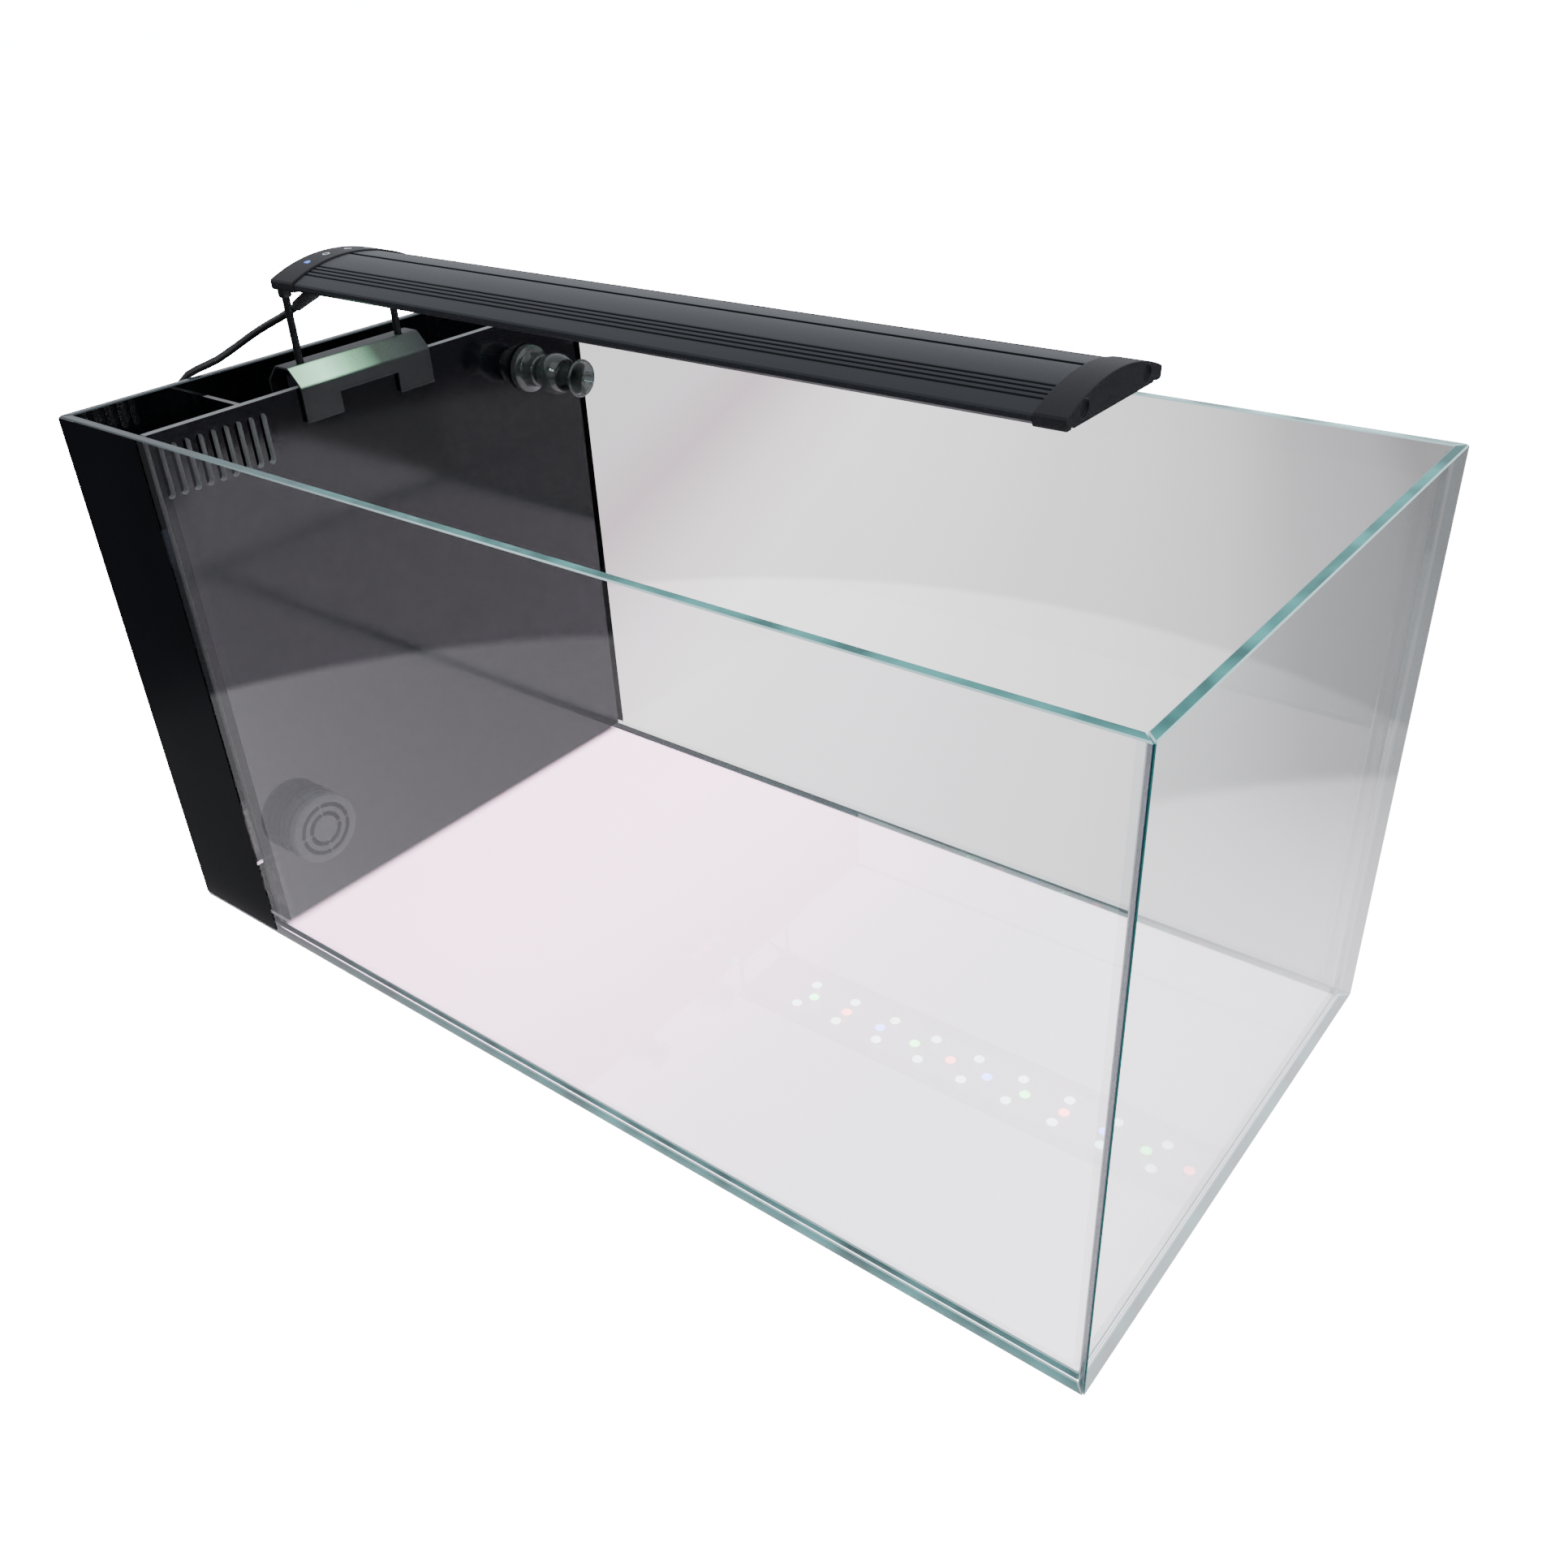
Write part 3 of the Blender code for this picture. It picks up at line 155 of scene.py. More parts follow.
@dataclass(frozen=True)
class Finish:
    """Numbers of one opaque finish.

    Attributes:
        colour: Base colour, linear.
        tint: Second colour that slow noise mixes in.
        roughness: Mean roughness.
        spread: How far fine noise moves the roughness.
        metallic: Metallic value.
        grain: Size of the surface grain, in cells a metre.
        bump: Bump strength.
        coat: Coat weight.
        ior: Index of refraction.
        stretch: How much the grain is stretched along each axis.
    """

    colour: Colour
    tint: Optional[Colour] = None
    roughness: float = 0.5
    spread: float = 0.08
    metallic: float = 0.0
    grain: float = 900.0
    bump: float = 0.15
    coat: float = 0.0
    ior: float = 1.5
    stretch: Point = (1.0, 1.0, 1.0)


@dataclass(frozen=True)
class Pane:
    """How one pane of glass looks.

    Attributes:
        axis: Its thin direction.
        clear: Colour that one face lets through.
        edge: Colour of the cut edges away from the chamber, lighter or darker from pane to pane as
            painted light and shade.
        painted_echo: Share mirrored for light that another pane has mirrored already, a painted
            reflection.
        painted_sheen: Share mirrored on the upper face where another pane is looked through, a
            painted reflection.
        end: How clear the right-hand end face is, where it lies flush with the next pane.
    """

    axis: Axis
    clear: Colour
    edge: Colour
    painted_echo: float = 0.0
    painted_sheen: float = 0.0
    end: float = 0.0


class Graph:
    """Small helper round one material's node tree."""

    def __init__(self, name: str) -> None:
        """Make the material.

        Args:
            name: The material's name.
        """
        self.material = bpy.data.materials.new(name)
        self.material.use_nodes = True
        self.tree = self.material.node_tree
        self.tree.nodes.clear()
        self.output = self.tree.nodes.new("ShaderNodeOutputMaterial")

    def add(self, kind: str, **inputs: object) -> bpy.types.Node:
        """Add a node.

        Args:
            kind: The node's type name after "ShaderNode".
            **inputs: Input values or sockets, by input name with _ for a space.

        Returns:
            The node.
        """
        node = self.tree.nodes.new("ShaderNode" + kind)
        for name, value in inputs.items():
            self.feed(node.inputs[name.replace("_", " ")], value)
        return node

    def feed(self, socket: bpy.types.NodeSocket, value: object) -> None:
        """Link or set one input.

        Args:
            socket: The input.
            value: Another node's output, or a constant.
        """
        if isinstance(value, bpy.types.NodeSocket):
            self.tree.links.new(value, socket)
        elif isinstance(value, tuple) and socket.type == "RGBA":
            socket.default_value = (*value, 1.0)[:4]
        else:
            socket.default_value = value

    def math(self, operation: str, first: object, second: object = 0.0) -> bpy.types.NodeSocket:
        """Add a maths node.

        Args:
            operation: Its operation.
            first: First operand.
            second: Second operand.

        Returns:
            Its result.
        """
        node = self.add("Math")
        node.operation = operation
        self.feed(node.inputs[0], first)
        self.feed(node.inputs[1], second)
        return node.outputs[0]

    def blend(self, factor: object, first: object, second: object) -> bpy.types.NodeSocket:
        """Mix two colours.

        Args:
            factor: Share of the second.
            first: First colour.
            second: Second colour.

        Returns:
            The mixed colour.
        """
        node = self.add("MixRGB", Fac=factor, Color1=first, Color2=second)
        return node.outputs[0]

    def shader_mix(self, factor: object, first: bpy.types.Node,
                   second: bpy.types.Node) -> bpy.types.Node:
        """Mix two shaders.

        Args:
            factor: Share of the second.
            first: First shader's node.
            second: Second shader's node.

        Returns:
            The mixing node.
        """
        node = self.add("MixShader", Fac=factor)
        self.tree.links.new(first.outputs[0], node.inputs[1])
        self.tree.links.new(second.outputs[0], node.inputs[2])
        return node

    def facing(self, axis: Axis) -> tuple[bpy.types.NodeSocket, bpy.types.NodeSocket]:
        """Tell a sheet's big faces and its chamfers from its other edges.

        Args:
            axis: The sheet's thin direction.

        Returns:
            Masks that are 1 on the big faces, and on the slanted faces beside them.
        """
        shape = self.add("NewGeometry")
        dot = self.add("VectorMath")
        dot.operation = "DOT_PRODUCT"
        self.feed(dot.inputs[0], shape.outputs["True Normal"])
        self.feed(dot.inputs[1], axis.value)
        size = self.math("ABSOLUTE", dot.outputs["Value"])
        along = self.math("GREATER_THAN", size, 0.9)
        return along, self.math("SUBTRACT", self.math("GREATER_THAN", size, 0.4), along)

    def surface(self, node: bpy.types.Node) -> bpy.types.Material:
        """Use a shader as the surface.

        Args:
            node: The shader's node.

        Returns:
            The finished material.
        """
        self.tree.links.new(node.outputs[0], self.output.inputs["Surface"])
        return self.material


class Effects:
    """Shader node groups shared by the materials."""

    def __init__(self) -> None:
        """Build the groups."""
        self.grain = self._grain()

    @staticmethod
    def _group(name: str, inputs: Iterable[tuple[str, str]],
               outputs: Iterable[tuple[str, str]]) -> bpy.types.NodeTree:
        """Make a node group with its sockets.

        Args:
            name: The group's name.
            inputs: Label and type of each input.
            outputs: Label and type of each output.

        Returns:
            The group.
        """
        group = bpy.data.node_groups.new(name, "ShaderNodeTree")
        for label, kind in inputs:
            group.interface.new_socket(label, in_out="INPUT", socket_type=kind)
        for label, kind in outputs:
            group.interface.new_socket(label, in_out="OUTPUT", socket_type=kind)
        group.nodes.new("NodeGroupInput")
        group.nodes.new("NodeGroupOutput")
        return group

    def _grain(self) -> bpy.types.NodeTree:
        """Fine grain and slow patches: colour, roughness and bump height.

        Returns:
            The group.
        """
        group = self._group(
            "SurfaceGrain",
            (("Colour", "NodeSocketColor"), ("Tint", "NodeSocketColor"),
             ("Roughness", "NodeSocketFloat"), ("Spread", "NodeSocketFloat"),
             ("Grain", "NodeSocketFloat"), ("Stretch", "NodeSocketVector")),
            (("Colour", "NodeSocketColor"), ("Roughness", "NodeSocketFloat"),
             ("Height", "NodeSocketFloat")))
        nodes, link = group.nodes, group.links.new
        enter, leave = nodes["Group Input"], nodes["Group Output"]
        place = nodes.new("ShaderNodeTexCoord")
        scale = nodes.new("ShaderNodeVectorMath")
        scale.operation = "MULTIPLY"
        link(place.outputs["Object"], scale.inputs[0])
        link(enter.outputs["Stretch"], scale.inputs[1])
        fine = nodes.new("ShaderNodeTexNoise")
        fine.inputs["Detail"].default_value = 3.0
        link(scale.outputs[0], fine.inputs["Vector"])
        link(enter.outputs["Grain"], fine.inputs["Scale"])
        slow = nodes.new("ShaderNodeTexNoise")
        slow.inputs["Scale"].default_value = 14.0
        link(place.outputs["Object"], slow.inputs["Vector"])
        mix = nodes.new("ShaderNodeMixRGB")
        link(slow.outputs["Fac"], mix.inputs["Fac"])
        link(enter.outputs["Colour"], mix.inputs["Color1"])
        link(enter.outputs["Tint"], mix.inputs["Color2"])
        link(mix.outputs[0], leave.inputs["Colour"])
        centred = nodes.new("ShaderNodeMath")
        centred.operation = "SUBTRACT"
        link(fine.outputs["Fac"], centred.inputs[0])
        centred.inputs[1].default_value = 0.5
        spread = nodes.new("ShaderNodeMath")
        spread.operation = "MULTIPLY_ADD"
        link(centred.outputs[0], spread.inputs[0])
        link(enter.outputs["Spread"], spread.inputs[1])
        link(enter.outputs["Roughness"], spread.inputs[2])
        link(spread.outputs[0], leave.inputs["Roughness"])
        link(fine.outputs["Fac"], leave.inputs["Height"])
        return group


class Materials:
    """Every material of the object, by the record's slot name."""

    FINISHES: dict[str, Finish] = {
        "black_film": Finish((0.003, 0.003, 0.004), (0.006, 0.006, 0.008), 0.34, 0.10, bump=0.03,
                             ior=1.08),
        "blue_white_acrylic": Finish((0.28, 0.42, 0.50), (0.40, 0.52, 0.58), 0.22, 0.08, bump=0.02),
        "black_plastic": Finish((0.008, 0.008, 0.010), (0.013, 0.013, 0.016), 0.44, 0.15,
                                grain=1400, bump=0.25, ior=1.30),
        "grey_plastic": Finish((0.050, 0.049, 0.056), (0.070, 0.068, 0.076), 0.48, 0.10,
                               grain=1600, bump=0.15),
        "black_rubber": Finish((0.011, 0.011, 0.012), (0.019, 0.019, 0.020), 0.72, 0.12,
                               grain=1100, bump=0.30),
        "black_steel": Finish((0.012, 0.012, 0.014), (0.022, 0.022, 0.024), 0.30, 0.12, 0.7,
                              grain=700, bump=0.06),
        "bright_steel": Finish((0.52, 0.52, 0.53), (0.42, 0.42, 0.44), 0.26, 0.15, 1.0,
                               grain=900, bump=0.05),
        "white_board": Finish((0.74, 0.75, 0.73), (0.66, 0.68, 0.67), 0.38, 0.10, bump=0.05),
        "gloss_black": Finish((0.003, 0.003, 0.004), (0.005, 0.005, 0.007), 0.07, 0.04,
                              bump=0.0, coat=0.6),
        "white_ceramic": Finish((0.72, 0.71, 0.67), (0.62, 0.60, 0.56), 0.45, 0.10, bump=0.08),
        "hose_silicone": Finish((0.20, 0.23, 0.23), (0.28, 0.31, 0.30), 0.33, 0.12, bump=0.05),
        "cable_pvc": Finish((0.007, 0.007, 0.008), (0.012, 0.012, 0.013), 0.38, 0.12,
                            grain=600, bump=0.05),
        "dark_steel": Finish((0.060, 0.062, 0.066), (0.090, 0.094, 0.096), 0.42, 0.25, 0.75,
                             grain=1500, bump=0.18, stretch=(1.0, 0.35, 1.0)),
        "black_aluminium": Finish((0.009, 0.010, 0.013), (0.014, 0.016, 0.020), 0.37, 0.12, 0.12,
                                  grain=2600, bump=0.16, ior=1.40, stretch=(0.6, 1.0, 1.0)),
    }

    def __init__(self, effects: Effects) -> None:
        """Build the library.

        Args:
            effects: The shared node groups.
        """
        self.effects = effects
        self.made: dict[str, bpy.types.Material] = {}
        for name, finish in self.FINISHES.items():
            self.made[name] = self._opaque(name, finish)
        self.made["black_acrylic"] = self._acrylic(Axis.X)
        self.made["black_acrylic_flat"] = self._acrylic(Axis.Y)
        self.made["clear_silicone"] = self._see_through(
            "clear_silicone", (0.86, 0.90, 0.89), 0.985, 0.30)
        self.made["smoke_plastic"] = self._smoke()
        self.made["clear_acrylic"] = self._see_through(
            "clear_acrylic", (0.92, 0.94, 0.96), 0.85, 0.10)
        self.made["foam"] = self._cells("foam", (0.020, 0.028, 0.050), (0.045, 0.060, 0.095), 700,
                                        0.9)
        self.made["stone_media"] = self._cells("stone_media", (0.36, 0.30, 0.22),
                                               (0.62, 0.55, 0.45), 320, 0.8)

    def get(self, name: str) -> bpy.types.Material:
        """Give a material.

        Args:
            name: Slot or variant name.

        Returns:
            The material.
        """
        return self.made[name]

    def _grain_node(self, graph: Graph, finish: Finish) -> bpy.types.Node:
        """Place the grain group with a finish's values.

        Args:
            graph: The material's graph.
            finish: The finish.

        Returns:
            The group's node.
        """
        node = graph.add("Group")
        node.node_tree = self.effects.grain
        for label, value in (("Colour", finish.colour), ("Tint", finish.tint or finish.colour),
                             ("Roughness", finish.roughness), ("Spread", finish.spread),
                             ("Grain", finish.grain), ("Stretch", finish.stretch)):
            graph.feed(node.inputs[label], value)
        return node

    def _opaque(self, name: str, finish: Finish) -> bpy.types.Material:
        """Principled finish with grain, patches and a fine bump.

        Args:
            name: The material's name.
            finish: Its numbers.

        Returns:
            The material.
        """
        graph = Graph(name)
        grain = self._grain_node(graph, finish)
        bump = graph.add("Bump", Strength=finish.bump, Distance=0.0002,
                         Height=grain.outputs["Height"])
        shader = graph.add("BsdfPrincipled", Base_Color=grain.outputs["Colour"],
                           Roughness=grain.outputs["Roughness"], Metallic=finish.metallic,
                           Coat_Weight=finish.coat, IOR=finish.ior, Normal=bump.outputs[0])
        return graph.surface(shader)

    def _acrylic(self, axis: Axis) -> bpy.types.Material:
        """Gloss black sheet whose sawn edges are frosted grey.

        Args:
            axis: The sheet's thin direction.

        Returns:
            The material.
        """
        graph = Graph("black_acrylic_" + axis.name.lower())
        along, _ = graph.facing(axis)
        grain = self._grain_node(graph, Finish((0.002, 0.002, 0.004), (0.004, 0.004, 0.006), 0.08,
                                               0.05, grain=60))
        edge = self._grain_node(graph, Finish((0.16, 0.17, 0.17), (0.30, 0.31, 0.31), 0.55, 0.30,
                                              grain=900))
        colour = graph.blend(along, edge.outputs["Colour"], grain.outputs["Colour"])
        rough = graph.add("Mix")
        graph.feed(rough.inputs[0], along)
        graph.feed(rough.inputs[2], edge.outputs["Roughness"])
        graph.feed(rough.inputs[3], grain.outputs["Roughness"])
        shader = graph.add("BsdfPrincipled", Base_Color=colour, Roughness=rough.outputs[0],
                           IOR=1.45)
        return graph.surface(shader)

    def _see_through(self, name: str, colour: Colour, clear: float,
                     roughness: float) -> bpy.types.Material:
        """Thin clear stuff: part transparent, part soft shine.

        Args:
            name: The material's name.
            colour: Its tint.
            clear: Share that passes straight through.
            roughness: Roughness of the rest.

        Returns:
            The material.
        """
        graph = Graph(name)
        grain = self._grain_node(graph, Finish(colour, tuple(0.9 * c for c in colour), roughness,
                                               0.10, grain=300))
        body = graph.add("BsdfPrincipled", Base_Color=grain.outputs["Colour"],
                         Roughness=grain.outputs["Roughness"])
        through = graph.add("BsdfTransparent", Color=tuple(0.5 + 0.5 * c for c in colour))
        return graph.surface(graph.shader_mix(clear, body, through))

    def _smoke(self) -> bpy.types.Material:
        """Smoky clear plastic with bright rims.

        Returns:
            The material.
        """
        graph = Graph("smoke_plastic")
        grain = self._grain_node(graph, Finish((0.030, 0.036, 0.035), (0.060, 0.070, 0.068),
                                               0.06, 0.05, grain=200))
        body = graph.add("BsdfPrincipled", Base_Color=grain.outputs["Colour"],
                         Roughness=grain.outputs["Roughness"], Coat_Weight=0.6)
        through = graph.add("BsdfTransparent", Color=(0.42, 0.46, 0.45))
        rim = graph.add("LayerWeight", Blend=0.35)
        share = graph.math("MULTIPLY", graph.math("SUBTRACT", 1.0, rim.outputs["Facing"]), 0.45)
        return graph.surface(graph.shader_mix(share, body, through))

    def _cells(self, name: str, dark: Colour, light: Colour, scale: float,
               roughness: float) -> bpy.types.Material:
        """Open cells: foam or porous stone.

        Args:
            name: The material's name.
            dark: Colour in the pores.
            light: Colour of the walls.
            scale: Cells a metre.
            roughness: Roughness.

        Returns:
            The material.
        """
        graph = Graph(name)
        place = graph.add("TexCoord")
        cells = graph.add("TexVoronoi", Vector=place.outputs["Object"], Scale=scale)
        colour = graph.blend(cells.outputs["Distance"], dark, light)
        bump = graph.add("Bump", Strength=0.9, Distance=0.0006, Height=cells.outputs["Distance"])
        shader = graph.add("BsdfPrincipled", Base_Color=colour, Roughness=roughness,
                           Normal=bump.outputs[0])
        return graph.surface(shader)

    def pane(self, name: str, look: Pane) -> bpy.types.Material:
        """Float glass: clear faces, deep teal edges that glow with painted light, and whitish
        ground arrises; edges and arrises carry painted shade towards the chamber.

        Args:
            name: The material's name.
            look: How the pane looks.

        Returns:
            The material.
        """
        graph = Graph(name)
        along, chamfer = graph.facing(look.axis)
        through = graph.add("BsdfTransparent", Color=look.clear)
        shine = graph.add("BsdfGlossy", Color=(1.0, 1.0, 1.0), Roughness=0.0)
        shape = graph.add("NewGeometry")
        ior = graph.math("SUBTRACT", 1.46,
                         graph.math("MULTIPLY", shape.outputs["Backfacing"], 1.46 - 1 / 1.46))
        fresnel = graph.add("Fresnel", IOR=ior)
        paths = graph.add("LightPath")
        near = graph.math("LESS_THAN", paths.outputs["Glossy Depth"], 3.0)
        lit = graph.math("SUBTRACT", near, paths.outputs["Is Shadow Ray"])
        mirror = graph.math("MULTIPLY", fresnel.outputs[0], graph.math("MAXIMUM", lit, 0.0))
        # Painted reflection: extra mirror share for rays that a pane has mirrored already.
        mirror = graph.math("MAXIMUM", mirror, graph.math(
            "MULTIPLY", paths.outputs["Is Glossy Ray"], look.painted_echo))
        # Painted reflection: extra mirror on the upper face where the camera looks through another
        # pane.
        if look.painted_sheen:
            deep = graph.math("GREATER_THAN", paths.outputs["Transparent Depth"], 1.5)
            seen = graph.math("MULTIPLY", paths.outputs["Is Camera Ray"], deep)
            front = graph.math("SUBTRACT", 1.0, shape.outputs["Backfacing"])
            mirror = graph.math("MAXIMUM", mirror, graph.math(
                "MULTIPLY", graph.math("MULTIPLY", seen, front), look.painted_sheen))
        face = graph.shader_mix(mirror, through, shine)
        parts = graph.add("SeparateXYZ", Vector=shape.outputs["Position"])
        # Painted shade: edges and arrises darken towards the filter chamber.
        shade_fade_from_chamber = graph.add("MapRange", Value=parts.outputs["X"], From_Min=-0.22,
                              From_Max=0.02)
        streaks = graph.add("TexNoise", Vector=graph.add("TexCoord").outputs["Object"],
                            Scale=34.0, Detail=2.0)
        bands = graph.add("ValToRGB", Fac=streaks.outputs["Fac"])
        first, last = bands.color_ramp.elements
        first.position, first.color = 0.36, (*(0.45 * c for c in look.edge), 1.0)
        last.position, last.color = 0.62, (*(1.25 * c + 0.03 for c in look.edge), 1.0)
        tone = graph.blend(shade_fade_from_chamber.outputs[0], (0.022, 0.030, 0.036), bands.outputs[0])
        # Painted light: the cut edges glow with their own tone.
        rim = graph.add("BsdfPrincipled", Base_Color=tone, Roughness=0.14,
                        Emission_Color=tone, Emission_Strength=0.30)
        white = graph.blend(shade_fade_from_chamber.outputs[0], (0.035, 0.050, 0.055), (0.60, 0.84, 0.84))
        ground = graph.add("BsdfPrincipled", Base_Color=white, Roughness=0.35)
        rim = graph.shader_mix(chamfer, rim, ground)
        if look.axis is Axis.X:
            under = graph.add("VectorMath")
            under.operation = "DOT_PRODUCT"
            graph.feed(under.inputs[0], shape.outputs["True Normal"])
            graph.feed(under.inputs[1], (0.0, 0.0, -1.0))
            down = graph.math("GREATER_THAN", under.outputs["Value"], 0.9)
            clear = graph.add("BsdfTransparent", Color=(0.80, 0.87, 0.88))
            rim = graph.shader_mix(graph.math("MULTIPLY", down, 0.75), rim, clear)
        if look.axis is not Axis.Z:
            rim = self._mitre(graph, look, along, rim)
        if look.end:
            flush = graph.add("VectorMath")
            flush.operation = "DOT_PRODUCT"
            graph.feed(flush.inputs[0], shape.outputs["True Normal"])
            graph.feed(flush.inputs[1], Axis.X.value)
            flat = graph.math("GREATER_THAN", flush.outputs["Value"], 0.9)
            outer = graph.math("LESS_THAN", parts.outputs["Y"], 0.1484)
            if look.axis is Axis.Z:
                outer = graph.math("GREATER_THAN", parts.outputs["Z"], 0.0016)
            clear = graph.add("BsdfTransparent", Color=tuple(0.93 * c for c in look.clear))
            share = graph.math("MULTIPLY", graph.math("MULTIPLY", flat, outer), look.end)
            rim = graph.shader_mix(share, rim, clear)
        return graph.surface(graph.shader_mix(along, rim, face))

    def _mitre(self, graph: Graph, look: Pane, along: bpy.types.NodeSocket,
               rim: bpy.types.Node) -> bpy.types.Node:
        """Glued 45 degree joints: dark at the near corner, clear at the far one, with a faint glow
        of painted light.

        Args:
            graph: The pane's graph.
            look: How the pane looks.
            along: Mask of the big faces.
            rim: The shader of the other edges.

        Returns:
            The shader with the joints.
        """
        shape = graph.add("NewGeometry")
        normal = graph.add("SeparateXYZ", Vector=shape.outputs["True Normal"])
        place = graph.add("SeparateXYZ", Vector=shape.outputs["Position"])
        level = graph.math("ABSOLUTE", normal.outputs["Z"])
        upright = graph.math("MULTIPLY", graph.math("LESS_THAN", level, 0.2),
                             graph.math("LESS_THAN", along, 0.5))
        far = graph.add("MapRange", Value=place.outputs["Y"], From_Min=0.0, From_Max=0.02)
        across = graph.add("MapRange", Value=place.outputs["X"], From_Min=0.2953,
                           From_Max=0.2996)
        tone = graph.add("ValToRGB", Fac=across.outputs[0])
        first, last = tone.color_ramp.elements
        dark = (0.004, 0.035, 0.050) if look.axis is Axis.Y else (0.020, 0.150, 0.150)
        first.position, first.color = 0.08, (*(0.55 + 0.2 * c for c in look.edge), 1.0)
        last.position, last.color = 0.24, (*dark, 1.0)
        # Painted light: the joint glows faintly with its tone.
        joint = graph.add("BsdfPrincipled", Base_Color=tone.outputs[0], Roughness=0.2,
                          Emission_Color=tone.outputs[0], Emission_Strength=0.2)
        clear = graph.add("BsdfTransparent", Color=(0.93, 0.94, 0.94))
        joint = graph.shader_mix(graph.math("MULTIPLY", far.outputs[0], 0.9), joint, clear)
        return graph.shader_mix(upright, rim, joint)

    def glow(self, name: str, colour: Colour, strength: float,
             mirrored: float = 0.0) -> bpy.types.Material:
        """A lit chip or a lit mark.

        Args:
            name: The material's name.
            colour: Its light.
            strength: Its strength.
            mirrored: Extra strength where it is seen in a mirror: a painted reflection.

        Returns:
            The material.
        """
        graph = Graph(name)
        power = strength
        if mirrored:
            paths = graph.add("LightPath")
            power = graph.math("ADD", strength, graph.math(
                "MULTIPLY", paths.outputs["Is Glossy Ray"], mirrored))
        rim = graph.add("LayerWeight", Blend=0.3)
        tone = graph.blend(rim.outputs["Facing"], colour, tuple(0.7 * c for c in colour))
        shader = graph.add("BsdfPrincipled", Base_Color=tone, Roughness=0.3,
                           Emission_Color=tone, Emission_Strength=power)
        return graph.surface(shader)


class Meshes:
    """Mesh tools that make one object each."""

    @staticmethod
    def place(name: str, bm: bmesh.types.BMesh, material: bpy.types.Material,
              smooth: float = 35.0) -> bpy.types.Object:
        """Turn a bmesh into an object.

        Args:
            name: The object's name.
            bm: The mesh; it is freed.
            material: Its material.
            smooth: Angle under which edges are smooth, in degrees; 0 leaves faces flat.

        Returns:
            The object.
        """
        bmesh.ops.recalc_face_normals(bm, faces=bm.faces)
        mesh = bpy.data.meshes.new(name)
        bm.to_mesh(mesh)
        bm.free()
        if smooth:
            mesh.shade_smooth()
            mesh.set_sharp_from_angle(angle=math.radians(smooth))
        obj = bpy.data.objects.new(name, mesh)
        bpy.context.scene.collection.objects.link(obj)
        mesh.materials.append(material)
        return obj

    @staticmethod
    def apply(obj: bpy.types.Object) -> bpy.types.Object:
        """Bake an object's modifiers into its mesh.

        Args:
            obj: The object.

        Returns:
            The same object.
        """
        bpy.context.view_layer.update()
        graph = bpy.context.evaluated_depsgraph_get()
        mesh = bpy.data.meshes.new_from_object(obj.evaluated_get(graph))
        obj.modifiers.clear()
        obj.data = mesh
        return obj

    @staticmethod
    def soften(obj: bpy.types.Object, width: float, segments: int = 2,
               angle: float = 35.0) -> bpy.types.Object:
        """Round an object's edges.

        Args:
            obj: The object.
            width: The rounding's width.
            segments: Its segments.
            angle: Edges sharper than this are rounded, in degrees.

        Returns:
            The same object.
        """
        bevel = obj.modifiers.new("round", "BEVEL")
        bevel.width = width
        bevel.segments = segments
        bevel.limit_method = "ANGLE"
        bevel.angle_limit = math.radians(angle)
        bevel.harden_normals = True
        return Meshes.apply(obj)

    @staticmethod
    def turned(name: str, profile: Sequence[Pair], origin: Point, axis: Vector,
               material: bpy.types.Material, steps: int = 64) -> bpy.types.Object:
        """Body of revolution.

        Args:
            name: The object's name.
            profile: (radius, height) points, closed back to the first.
            origin: Where height 0 is.
            axis: Direction of +height.
            material: Its material.
            steps: Segments round.

        Returns:
            The object.
        """
        bm = bmesh.new()
        rings = []
        for radius, height in profile:
            if radius < 1e-7:
                rings.append([bm.verts.new((0, 0, height))])
                continue
            rings.append([bm.verts.new((radius * math.cos(math.tau * k / steps),
                                        radius * math.sin(math.tau * k / steps), height))
                          for k in range(steps)])
        closed = profile[0][0] > 1e-7
        pairs = list(zip(rings, rings[1:])) + ([(rings[-1], rings[0])] if closed else [])
        for low, high in pairs:
            for k in range(steps):
                corners = [low[k % len(low)], low[(k + 1) % len(low)],
                           high[(k + 1) % len(high)], high[k % len(high)]]
                unique = list(dict.fromkeys(corners))
                if len(unique) > 2:
                    bm.faces.new(unique)
        turn = axis.normalized().to_track_quat("Z", "Y").to_matrix().to_4x4()
        bmesh.ops.transform(bm, matrix=Matrix.Translation(origin) @ turn, verts=bm.verts)
        return Meshes.place(name, bm, material)

    @staticmethod
    def extruded(name: str, outline: Sequence[Pair], axis: Axis, low: float, high: float,
                 material: bpy.types.Material, smooth: float = 25.0) -> bpy.types.Object:
        """Closed outline pushed along an axis.

        Args:
            name: The object's name.
            outline: Points in the other two axes, in X, Y, Z order.
            axis: The direction of the push.
            low: Where it starts.
            high: Where it ends.
            material: Its material.
            smooth: Smoothing angle in degrees.

        Returns:
            The object.
        """
        def corner(pair: Pair, level: float) -> Point:
            """Put an outline's point at a level.

            Args:
                pair: The point.
                level: Where it lies along the axis.

            Returns:
                The point in space.
            """
            values = list(pair)
            values.insert("XYZ".index(axis.name), level)
            return tuple(values)

        bm = bmesh.new()
        near = [bm.verts.new(corner(pair, low)) for pair in outline]
        far = [bm.verts.new(corner(pair, high)) for pair in outline]
        bm.faces.new(near)
        bm.faces.new(far[::-1])
        for k in range(len(outline)):
            nxt = (k + 1) % len(outline)
            bm.faces.new((near[k], far[k], far[nxt], near[nxt]))
        return Meshes.place(name, bm, material, smooth)

